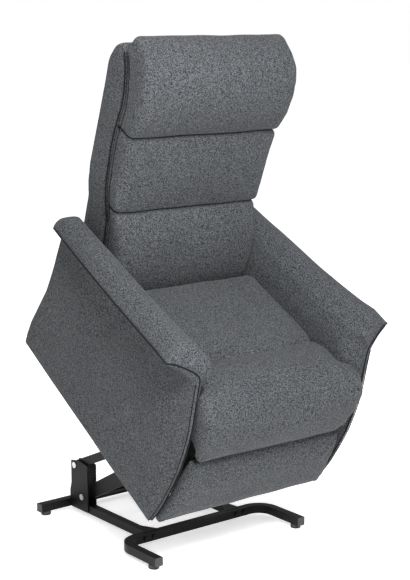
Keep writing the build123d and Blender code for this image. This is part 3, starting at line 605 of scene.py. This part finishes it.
def creased(piece, amount, size, seed=0.0):
    """Slow uneven hand-made waviness of stuffed cloth."""
    points, normals = points_of(piece).copy(), normals_of(piece)
    wave = np.array([noise.noise(Vector(p) / size + Vector((seed, 0, 0))) for p in points])
    move_points(piece, points + normals * (wave * amount)[:, None])


def seam_line(name, path, radius, body):
    """A dark tube of painted seam shadow along a smooth path in the seated frame."""
    data = bpy.data.curves.new(name, "CURVE")
    data.dimensions = "3D"
    data.bevel_depth = radius
    data.bevel_resolution = 2
    spline = data.splines.new("POLY")
    spline.points.add(len(path) - 1)
    for point, place in zip(spline.points, path):
        point.co = (*place, 1.0)
    data.use_fill_caps = True
    holder = bpy.data.objects.new(name, data)
    bpy.context.scene.collection.objects.link(holder)
    bpy.context.view_layer.update()
    mesh = bpy.data.meshes.new_from_object(holder)
    bpy.data.objects.remove(holder)
    bpy.data.curves.remove(data)
    piece = bpy.data.objects.new(name, mesh)
    bpy.context.scene.collection.objects.link(piece)
    mesh.materials.clear()
    # The tube's near-black cloth is painted seam shadow.
    mesh.materials.append(finish_of("seam_shadow"))
    mesh.polygons.foreach_set("use_smooth", [True] * len(mesh.polygons))
    seat_it(piece, body)


def seat_it(piece, body):
    """Tilts a finished piece from the seated frame into the row's frame, and lets it ride."""
    piece.data.transform(SEATED)
    piece.data.update()
    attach(piece, body)


def interpolated(table, key):
    """Straight-line value from (key, value...) rows in rising order."""
    for low, high in zip(table, table[1:]):
        if key <= high[0] or high is table[-1]:
            part = min(max((key - low[0]) / (high[0] - low[0]), 0.0), 1.0)
            return [a + (b - a) * part for a, b in zip(low[1:], high[1:])]


def paint_nodes(finish, *nodes):
    for name in nodes:
        mesh = frame["nodes"][name].data
        mesh.materials.clear()
        mesh.materials.append(finish_of(finish))


# ---- profiles ----------------------------------------------------------------------------------
# (height, front edge, rear edge) of an arm seen from the side.
ARM_EDGES = [
    (0.224, -0.058, 0.686),
    (0.258, -0.067, 0.691),
    (0.307, -0.074, 0.692),
    (0.380, -0.0775, 0.682),
    (0.443, -0.0775, 0.673),
    (0.500, -0.071, 0.674),
    (0.536, -0.065, 0.676),
    (0.572, -0.057, 0.681),
    (0.621, -0.041, 0.687),
    (0.655, -0.029, 0.690),
    (0.689, -0.018, 0.694),
    (0.702, -0.014, 0.689),
    (0.714, -0.011, 0.679),
    (0.735, -0.006, 0.656),
    (0.750, 0.002, 0.640),
    (0.765, 0.016, 0.626),
    (0.780, 0.040, 0.612),
    (0.800, 0.085, 0.600),
]
# (y, seam x, seam z, crest x, crest z) of its top along the chair.
ARM_FRONT_Y, ARM_REAR_Y, ARM_STEPS = 0.028, 0.722, 70
ARM_TOPS = [
    (0.028, 0.398, 0.750, 0.345, 0.788),
    (0.110, 0.382, 0.732, 0.344, 0.780),
    (0.340, 0.369, 0.703, 0.340, 0.757),
    (0.560, 0.360, 0.683, 0.337, 0.740),
    (0.640, 0.357, 0.678, 0.334, 0.731),
    (0.740, 0.354, 0.674, 0.332, 0.722),
]
# (x, z) where the front seam turns under the overhang, and the top of the seams below it.
ARM_LIP = [(0.372, 0.7500), (0.346, 0.7440), (0.324, 0.7370), (0.310, 0.7270), (0.3045, 0.7130)]
WALL_SEAM_TOP = 0.706
# (height, y) of the parting between the back panels and the shell behind them.
BACK_SPLIT = [
    (0.476, 0.548),
    (0.522, 0.538),
    (0.640, 0.560),
    (0.706, 0.583),
    (0.801, 0.614),
    (0.855, 0.635),
    (0.912, 0.652),
    (0.968, 0.668),
    (1.005, 0.675),
    (1.101, 0.681),
    (1.148, 0.696),
    (1.183, 0.714),
    (1.204, 0.730),
    (1.226, 0.750),
]
# (height, half width) of the back.
BACK_WIDTHS = [
    (0.500, 0.243),
    (0.640, 0.247),
    (0.760, 0.250),
    (0.800, 0.260),
    (0.860, 0.267),
    (1.000, 0.268),
    (1.100, 0.270),
    (1.160, 0.272),
    (1.230, 0.268),
    (1.290, 0.258),
]
# Closed sections and front faces, as (y, z, corner radius). Pieces with a table of widths
# are first made NOMINAL_HALF wide to each side.
NOMINAL_HALF = 0.25
SPLIT_TOP = BACK_SPLIT[-1][0]
LOW_SEAM_Z, HIGH_SEAM_Z = 0.802, 1.028
BACK_SEAM_LOW, BACK_SEAM_HIGH = 0.500, 1.222
LUMBAR_FRONT = [
    (0.572, LOW_SEAM_Z - 0.001, 0.003),
    (0.556, 0.797, 0.009),
    (0.508, 0.738, 0.060),
    (0.478, 0.660, 0.060),
    (0.470, 0.600, 0.050),
    (0.482, 0.520, 0.020),
]
MIDDLE_FRONT = [
    (0.616, HIGH_SEAM_Z - 0.001, 0.003),
    (0.601, 1.022, 0.009),
    (0.590, 0.960, 0.060),
    (0.576, 0.880, 0.060),
    (0.560, 0.808, 0.009),
    (0.574, LOW_SEAM_Z + 0.001, 0.003),
]
HEAD_FRONT = [
    (0.738, 1.279, 0.012),
    (0.712, 1.283, 0.025),
    (0.661, 1.262, 0.040),
    (0.628, 1.234, 0.050),
    (0.606, 1.196, 0.060),
    (0.593, 1.150, 0.060),
    (0.588, 1.100, 0.050),
    (0.601, 1.035, 0.010),
    (0.618, HIGH_SEAM_Z + 0.001, 0.003),
]
SHELL_REAR = [
    (0.770, 1.236, 0.020),
    (0.797, 1.214, 0.030),
    (0.804, 1.170, 0.030),
    (0.788, 1.090, 0.0),
    (0.756, 0.932, 0.0),
    (0.729, 0.809, 0.0),
    (0.699, 0.674, 0.0),
    (0.672, 0.560, 0.0),
    (0.652, 0.478, 0.020),
]
LEGREST_SECTION = [
    (-0.057, 0.231, 0.004),
    (-0.057, 0.455, 0.004),
    (-0.084, 0.455, 0.010),
    (-0.095, 0.432, 0.020),
    (-0.098, 0.375, 0.060),
    (-0.090, 0.285, 0.060),
    (-0.080, 0.232, 0.010),
]
LEGREST_WIDTHS = [(0.232, 0.297), (0.320, 0.284), (0.452, 0.265)]
SEAT_SECTION = [
    (0.455, 0.506, 0.006),
    (0.455, 0.618, 0.030),
    (0.300, 0.630, 0.0),
    (0.125, 0.638, 0.030),
    (0.070, 0.654, 0.060),
    (0.000, 0.660, 0.060),
    (-0.056, 0.658, 0.050),
    (-0.093, 0.612, 0.060),
    (-0.098, 0.540, 0.060),
    (-0.086, 0.463, 0.010),
    (-0.072, 0.463, 0.004),
    (-0.072, 0.506, 0.004),
]
SEAT_HALF, STUFFED_SEAT_HALF = 0.247, 0.249
SEAT_SEAM_Y = 0.120
# (height, half width) of the seat's front roll.
ROLL_WIDTHS = [(0.462, 0.268), (0.520, 0.278), (0.560, 0.287), (0.610, 0.292), (0.655, 0.286)]


def split_at(z):
    return interpolated(BACK_SPLIT, z)[0]


def back_half(z):
    return interpolated(BACK_WIDTHS, z)[0]


def legrest_half(z):
    return interpolated(LEGREST_WIDTHS, z)[0]


def arm_top(part):
    """Seam and crest of an arm's top: part runs from 0 at the rear to 1 at the front."""
    return interpolated(ARM_TOPS, ARM_REAR_Y + (ARM_FRONT_Y - ARM_REAR_Y) * part)


def arm_edges(z):
    return interpolated(ARM_EDGES, z)


def fin_inner(y, z):
    """Inner face of an arm, which thins to a fin along its front edge."""
    near = min(max(1 - (y - arm_edges(z)[0]) / FIN_REACH, 0.0), 1.0)
    fade = min(max((0.775 - z) / 0.06, 0.0), 1.0)
    return HALF_SEAT + (FIN_INNER - HALF_SEAT) * near * near * (3 - 2 * near) * fade


# ---- operators -----------------------------------------------------------------------------------
WHITE = (1.0, 1.0, 1.0, 1.0)
FLOOR_REACH = 30.0
AIM_Y, AIM_Z = -0.0244, 0.7486
SENSOR_WIDTH = 36.0
# (name, place, size, share of the key power)
LAMPS = (
    ("key", (-0.4, -2.3, 3.9), 1.3, 1.0),
    ("fill", (-3.0, -2.2, 1.8), 2.4, 0.30),
    ("top", (0.2, 0.8, 3.6), 2.0, 0.18),
    ("front", (-0.9, -1.7, 1.9), 0.5, 0.62),
)


class CHAIR_OT_stage(bpy.types.Operator):
    """White studio, soft light and the camera"""

    bl_idname = "chair.stage"
    bl_label = "Stage"

    def execute(self, context):
        settings = context.scene.chair_studio
        scene = context.scene
        scene.view_settings.view_transform = "Standard"
        world = bpy.data.worlds.new("Studio")
        world.use_nodes = True
        surround = world.node_tree.nodes["Background"]
        surround.inputs["Color"].default_value = WHITE
        ray = world.node_tree.nodes.new("ShaderNodeLightPath")
        strength = world.node_tree.nodes.new("ShaderNodeMix")
        strength.inputs["A"].default_value = settings.sky
        strength.inputs["B"].default_value = 1.0
        world.node_tree.links.new(ray.outputs["Is Camera Ray"], strength.inputs["Factor"])
        world.node_tree.links.new(strength.outputs["Result"], surround.inputs["Strength"])
        scene.world = world

        floor_mesh = bpy.data.meshes.new("studio_floor")
        corners = [
            (-FLOOR_REACH, -FLOOR_REACH, 0),
            (FLOOR_REACH, -FLOOR_REACH, 0),
            (FLOOR_REACH, FLOOR_REACH, 0),
            (-FLOOR_REACH, FLOOR_REACH, 0),
        ]
        floor_mesh.from_pydata(corners, [], [(0, 1, 2, 3)])
        floor = bpy.data.objects.new("studio_floor", floor_mesh)
        scene.collection.objects.link(floor)
        paper = Bench("studio_paper").finish(
            Base_Color=WHITE, Roughness=1.0, Emission_Color=WHITE, Emission_Strength=0.57
        )
        floor_mesh.materials.append(paper)

        target = Vector((0.0, AIM_Y + ROW_SHIFT, AIM_Z))
        level = math.cos(settings.elevation)
        back = Vector(
            (
                math.sin(settings.azimuth) * level,
                -math.cos(settings.azimuth) * level,
                math.sin(settings.elevation),
            )
        )
        camera_data = bpy.data.cameras.new("camera")
        camera_data.lens = settings.lens
        camera_data.sensor_width = SENSOR_WIDTH
        camera = bpy.data.objects.new("camera", camera_data)
        camera.location = target + back * settings.distance
        camera.rotation_euler = back.to_track_quat("Z", "Y").to_euler()
        scene.collection.objects.link(camera)
        scene.camera = camera

        for name, place, size, share in LAMPS:
            lamp_data = bpy.data.lights.new(name, "AREA")
            lamp_data.size = size
            lamp_data.energy = settings.key_power * share
            lamp = bpy.data.objects.new(name, lamp_data)
            lamp.location = place
            lamp.rotation_euler = (Vector(place) - target).to_track_quat("Z", "Y").to_euler()
            scene.collection.objects.link(lamp)
        return {"FINISHED"}


class CHAIR_OT_floor_frame(bpy.types.Operator):
    """Finishes of the floor frame and its towers"""

    bl_idname = "chair.floor_frame"
    bl_label = "Floor frame"

    def execute(self, context):
        paint_nodes(
            "powder_black",
            "base_crossbar",
            "base_foot_left",
            "base_foot_right",
            "base_side_rails",
            "base_rear_bar",
            "base_gussets",
            "lift_tower_left",
            "lift_tower_right",
            "lift_clevis_bracket",
            "base_bolts",
        )
        paint_nodes("zinc_plate", "lift_pivot_bolts", "lift_clevis_pin")
        paint_nodes("black_plastic", "base_end_caps")
        paint_nodes("pad_rubber", "floor_pads")
        return {"FINISHED"}


class CHAIR_OT_mechanism(bpy.types.Operator):
    """Finishes of the lift links, the seat mechanism and the legrest linkage"""

    bl_idname = "chair.mechanism"
    bl_label = "Mechanism"

    def execute(self, context):
        paint_nodes("powder_black", "upper_lift_links", "lower_lift_links", "lower_link_tie")
        paint_nodes(
            "linkage_coat",
            "mechanism_plate_left",
            "mechanism_plate_right",
            "chassis_cross_tubes",
            "lift_drive_beam",
            "back_brackets",
            "back_torque_tube",
            "back_clevis_bracket",
            "legrest_torque_tube",
            "legrest_drive_links",
            "legrest_carry_links",
            "legrest_control_links",
            "legrest_guide_links",
            "legrest_brackets",
        )
        paint_nodes("zinc_plate", "chassis_pins", "lower_link_pins", "back_clevis_pin")
        return {"FINISHED"}


class CHAIR_OT_drives(bpy.types.Operator):
    """Finishes of the three electric drives and the control box"""

    bl_idname = "chair.drives"
    bl_label = "Drives"

    def execute(self, context):
        paint_nodes(
            "black_plastic",
            "lift_drive_housing",
            "back_drive_housing",
            "legrest_drive_housing",
            "control_box",
        )
        paint_nodes("hard_chrome", "lift_drive_rod", "back_drive_rod", "legrest_drive_rod")
        return {"FINISHED"}


class CHAIR_OT_timber(bpy.types.Operator):
    """Finishes of the timber frame and the zig-zag springs"""

    bl_idname = "chair.timber"
    bl_label = "Timber and springs"

    def execute(self, context):
        paint_nodes("plywood", "seat_rear_rail", "back_frame")
        # Rails and boards that show only through gaps get the near-black cloth, which paints the
        # shade in the gaps.
        paint_nodes(
            "painted_gap_shade",
            "seat_side_rails",
            "seat_front_rail",
            "arm_board_left",
            "arm_board_right",
            "legrest_board",
            "rear_stretcher",
        )
        paint_nodes("spring_steel", "seat_springs")
        return {"FINISHED"}


class CHAIR_OT_handset(bpy.types.Operator):
    """Finishes of the handset, its keys and its pocket"""

    bl_idname = "chair.handset"
    bl_label = "Handset"

    def execute(self, context):
        paint_nodes("black_plastic", "handset_body", "handset_pocket")
        paint_nodes("key_plastic", "handset_key_back", "handset_key_lift")
        return {"FINISHED"}


class CHAIR_OT_seat(bpy.types.Operator):
    """Stuffed seat with its front roll and cross seam"""

    bl_idname = "chair.seat"
    bl_label = "Seat"

    def execute(self, context):
        settings = context.scene.chair_cloth
        shape = across(rounded(SEAT_SECTION), SEAT_HALF, 0.022)
        seat = new_piece("seat_pad", shape, "chair_cloth")
        remeshed(seat, settings.stuffing_voxel)

        def held(points):
            under = np.clip((0.56 - points[:, 2]) / 0.03, 0, 1) * (points[:, 1] > -0.07)
            behind = np.clip((points[:, 1] - 0.42) / 0.02, 0, 1)
            beside = np.clip((np.abs(points[:, 0]) - 0.240) / 0.004, 0, 1) * (points[:, 1] > -0.03)
            hem = np.clip((0.485 - points[:, 2]) / 0.015, 0, 1)
            off_seam = (points[:, 1] - SEAT_SEAM_Y) / 0.012
            seam = np.exp(-(off_seam**2)) * (points[:, 2] > 0.6) * 0.9
            return np.maximum.reduce([under, behind, beside, hem, seam])

        stuffed(seat, held)
        divided(seat)
        creased(seat, 0.0022, 0.085, 3.0)
        cross_seam = []
        for step in range(-20, 21):
            part = step / 20
            cross_seam.append((part * HALF_SEAT, SEAT_SEAM_Y + 0.010 * part**2, 0.0))
        sewn(seat, on_top_of(seat, cross_seam), 0.0050, 0.030)
        sewn(seat, on_top_of(seat, cross_seam), 0.0080, 0.0075, 0.0016, 0.034)
        points = points_of(seat).copy()
        heights, halves = zip(*ROLL_WIDTHS)
        widest = np.interp(points[:, 2], heights, halves)
        beside = np.array([fin_inner(y, z) - 0.003 for _, y, z in points])
        ahead = np.clip(0.030 - points[:, 1], 0, 0.03) / 0.03
        points[:, 0] *= 1 + ahead * (np.minimum(widest, beside) / STUFFED_SEAT_HALF - 1)
        move_points(seat, points)
        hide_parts("seat_cushion")
        seat_it(seat, "chair")
        return {"FINISHED"}


class CHAIR_OT_backrest(bpy.types.Operator):
    """Three stuffed back panels in front of the back's outer shell"""

    bl_idname = "chair.backrest"
    bl_label = "Backrest"

    def panel(self, name, front, low, high, seed):
        """One stuffed panel between two heights, from its front corners, top first."""
        settings = bpy.context.scene.chair_cloth
        top = min(high, SPLIT_TOP)
        rear = [z for z, _ in BACK_SPLIT if low + 0.02 < z < top - 0.02]
        corners = [(split_at(low) - 0.002, low, 0.006)]
        corners += [(split_at(z) - 0.002, z, 0.0) for z in rear]
        corners += [(split_at(top) - 0.002, top, 0.006)]
        corners += front
        shape = across(
            rounded(corners),
            NOMINAL_HALF,
            0.013,
            bow=0.003,
            width_at=lambda z: back_half(z) - 0.001,
        )
        pad = new_piece(name, shape, "chair_cloth")
        remeshed(pad, settings.stuffing_voxel, 3)

        def held(points):
            depth = np.array([split_at(z) for z in points[:, 2]]) - points[:, 1]
            rear_side = np.clip((0.036 - depth) / 0.012, 0, 1)
            below = np.clip((low + 0.012 - points[:, 2]) / 0.008, 0, 1)
            above = np.clip((points[:, 2] - (high - 0.012)) / 0.008, 0, 1) * (high < 1.2)
            return np.maximum.reduce([rear_side, below, above])

        stuffed(pad, held)
        divided(pad)
        creased(pad, 0.0022, 0.090, seed)
        return pad

    def execute(self, context):
        lumbar = self.panel("back_pad_lumbar", LUMBAR_FRONT, 0.520, LOW_SEAM_Z - 0.002, 7.0)
        middle = self.panel(
            "back_pad_middle", MIDDLE_FRONT, LOW_SEAM_Z + 0.001, HIGH_SEAM_Z - 0.002, 11.0
        )
        head = self.panel("back_pad_head", HEAD_FRONT, HIGH_SEAM_Z + 0.001, 1.276, 17.0)
        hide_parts("back_cushion")
        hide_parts("back_cushion")
        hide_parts("back_cushion")
        for pad in (lumbar, middle, head):
            seat_it(pad, "backrest")

        corners = [(y + 0.002, z, 0.0) for z, y in BACK_SPLIT]
        corners[0] = (0.548, 0.476, 0.010)
        corners[-1] = (0.752, SPLIT_TOP, 0.010)
        corners += SHELL_REAR
        shape = across(rounded(corners), NOMINAL_HALF, 0.014, width_at=back_half)
        shell = new_piece("back_shell_cover", shape, "chair_cloth")
        remeshed(shell, context.scene.chair_cloth.stuffing_voxel, 3)
        divided(shell)
        creased(shell, 0.0012, 0.16, 23.0)
        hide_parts("back_shell")
        seat_it(shell, "backrest")

        # The front and rear dark lines at each side of the back are painted seam shadow.
        for side, hand in ((1, "left"), (-1, "right")):
            for edge, offset, radius in (("front", -0.020, 0.0012), ("rear", 0.001, 0.0021)):
                path = []
                for step in range(46):
                    z = BACK_SEAM_LOW + (BACK_SEAM_HIGH - BACK_SEAM_LOW) * step / 45
                    path.append((side * (back_half(z) - 0.0008), split_at(z) + offset, z))
                seam_line(f"back_seam_{edge}_{hand}", path, radius, "backrest")
        return {"FINISHED"}


class CHAIR_OT_arms(bpy.types.Operator):
    """Upholstered arms with flared tops, piped seams and a front strip"""

    bl_idname = "chair.arms"
    bl_label = "Arms"

    front_round = 0.006
    rear_round = 0.012

    def ring(self, side, part, depth, advance):
        """One section of the arm: part runs from 0 at the rear to 1 at the front."""
        seam_x, seam_z, crest_x, crest_z = arm_top(part)
        corners = [
            ((HALF_SEAT + ARM_OUTER) / 2, ARM_LOW, 0.0),
            (ARM_OUTER, ARM_LOW, 0.006),
            (ARM_OUTER, seam_z - 0.040, 0.030),
            (ARM_OUTER + (seam_x - ARM_OUTER) * 0.36, seam_z - 0.017, 0.030),
            (seam_x - 0.005, seam_z - 0.008, 0.006),
            (seam_x, seam_z, 0.003),
            (crest_x + 0.004, crest_z, 0.030),
            (crest_x - 0.045, crest_z - 0.004, 0.030),
            (HALF_SEAT + 0.012, crest_z - 0.045, 0.030),
            (HALF_SEAT, crest_z - 0.095, 0.030),
            (HALF_SEAT, ARM_LOW, 0.006),
        ]
        loop = resampled(rounded(corners, 6), LOOP_POINTS)
        if depth:
            loop = inset(loop, depth)
        ring = []
        for x, z in loop:
            front, rear = arm_edges(z)
            front += self.sweep(x)
            y = rear + (front - rear) * part
            thin = fin_inner(y + advance, z)
            x = max(x, thin + (depth if thin > x else 0.0))
            ring.append(Vector((side * x, y + advance, z)))
        return ring

    def sweep(self, x):
        """How far the front edge of the overhang lies behind the front of the arm's wall."""
        return 0.034 * max(x - ARM_OUTER, 0.0) / 0.080

    def execute(self, context):
        front, rear = self.front_round, self.rear_round
        for side, hand in ((1, "left"), (-1, "right")):
            rings = []
            for k in range(CAP_STEPS + 1):
                turn = math.pi / 2 * k / CAP_STEPS
                depth, advance = rear * (1 - math.sin(turn)), -rear * (1 - math.cos(turn))
                rings.append(self.ring(side, 0.0, depth, advance))
            for k in range(1, ARM_STEPS):
                advance = -rear + (rear + front) * k / ARM_STEPS
                rings.append(self.ring(side, k / ARM_STEPS, 0.0, advance))
            for k in range(CAP_STEPS + 1):
                turn = math.pi / 2 * (CAP_STEPS - k) / CAP_STEPS
                depth, advance = front * (1 - math.sin(turn)), front * (1 - math.cos(turn))
                rings.append(self.ring(side, 1.0, depth, advance))
            arm = new_piece(f"arm_pad_{hand}", skin(rings), "chair_cloth")
            creased(arm, 0.0016, 0.15, 31.0 + side)
            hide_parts(f"arm_cover_{hand}")
            seat_it(arm, "chair")
            self.seams(side, hand)
        return {"FINISHED"}

    def seams(self, side, hand):
        """Painted seam shadow: dark tubes along the piping of the overhang, down the outer corner
        and around the front strip.
        """
        top = []
        for k in range(60):
            part = k / 59
            seam_x, seam_z, _, _ = arm_top(part)
            front, rear = arm_edges(seam_z)
            front += self.sweep(seam_x)
            top.append((side * (seam_x + 0.0006), rear + (front - rear) * part, seam_z))
        seam_line(f"arm_seam_top_{hand}", top[1:], 0.0022, "chair")
        fall = ARM_LOW + 0.004 - WALL_SEAM_TOP
        heights = [WALL_SEAM_TOP + fall * k / 40 for k in range(41)]
        corner = side * (ARM_OUTER - 0.0010)
        outer = [(corner, arm_edges(z)[0] + self.sweep(ARM_OUTER) + 0.0004, z) for z in heights]
        seam_line(f"arm_seam_outer_{hand}", outer, 0.0014, "chair")
        strip = ARM_LIP + [(ARM_OUTER - 0.0125, z) for z in heights if z < 0.705]
        inner = [(side * x, arm_edges(z)[0] + self.sweep(x) - 0.0004, z) for x, z in strip]
        seam_line(f"arm_seam_front_{hand}", [top[-1]] + inner, 0.0021, "chair")


class CHAIR_OT_legrest(bpy.types.Operator):
    """Stuffed legrest panel, folded below the seat"""

    bl_idname = "chair.legrest"
    bl_label = "Legrest"

    def execute(self, context):
        settings = context.scene.chair_cloth
        shape = across(rounded(LEGREST_SECTION), NOMINAL_HALF, 0.006, width_at=legrest_half)
        pad = new_piece("legrest_pad", shape, "chair_cloth")
        remeshed(pad, settings.stuffing_voxel * 0.8, 2)

        def held(points):
            return np.clip((points[:, 1] + 0.076) / 0.005, 0, 1)

        stuffed(pad, held, 0.4)
        divided(pad)
        creased(pad, 0.0016, 0.08, 41.0)
        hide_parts("legrest_cushion")
        seat_it(pad, "legrest_panel")
        return {"FINISHED"}


class CHAIR_PT_panel(bpy.types.Panel):
    """Buttons for each group of pieces"""

    bl_label = "Lift recliner chair"
    bl_idname = "CHAIR_PT_panel"
    bl_space_type = "VIEW_3D"
    bl_region_type = "UI"
    bl_category = "Chair"

    def draw(self, context):
        for operator in OPERATORS:
            self.layout.operator(operator.bl_idname)
        for group in SETTINGS:
            settings = getattr(context.scene, group)
            for name in settings.__annotations__:
                self.layout.prop(settings, name)


OPERATORS = (
    CHAIR_OT_stage,
    CHAIR_OT_floor_frame,
    CHAIR_OT_mechanism,
    CHAIR_OT_drives,
    CHAIR_OT_timber,
    CHAIR_OT_handset,
    CHAIR_OT_seat,
    CHAIR_OT_backrest,
    CHAIR_OT_arms,
    CHAIR_OT_legrest,
)
SETTINGS = {
    "chair_cloth": ClothSettings,
    "chair_steel": SteelSettings,
    "chair_studio": StudioSettings,
}


def register():
    for name, group in SETTINGS.items():
        bpy.utils.register_class(group)
        setattr(bpy.types.Scene, name, PointerProperty(type=group))
    for operator in OPERATORS:
        bpy.utils.register_class(operator)
    bpy.utils.register_class(CHAIR_PT_panel)


def unregister():
    bpy.utils.unregister_class(CHAIR_PT_panel)
    for operator in reversed(OPERATORS):
        bpy.utils.unregister_class(operator)
    for name, group in SETTINGS.items():
        delattr(bpy.types.Scene, name)
        bpy.utils.unregister_class(group)


def main():
    register()
    for operator in OPERATORS:
        group, _, action = operator.bl_idname.partition(".")
        getattr(getattr(bpy.ops, group), action)()


if __name__ == "__main__":
    main()
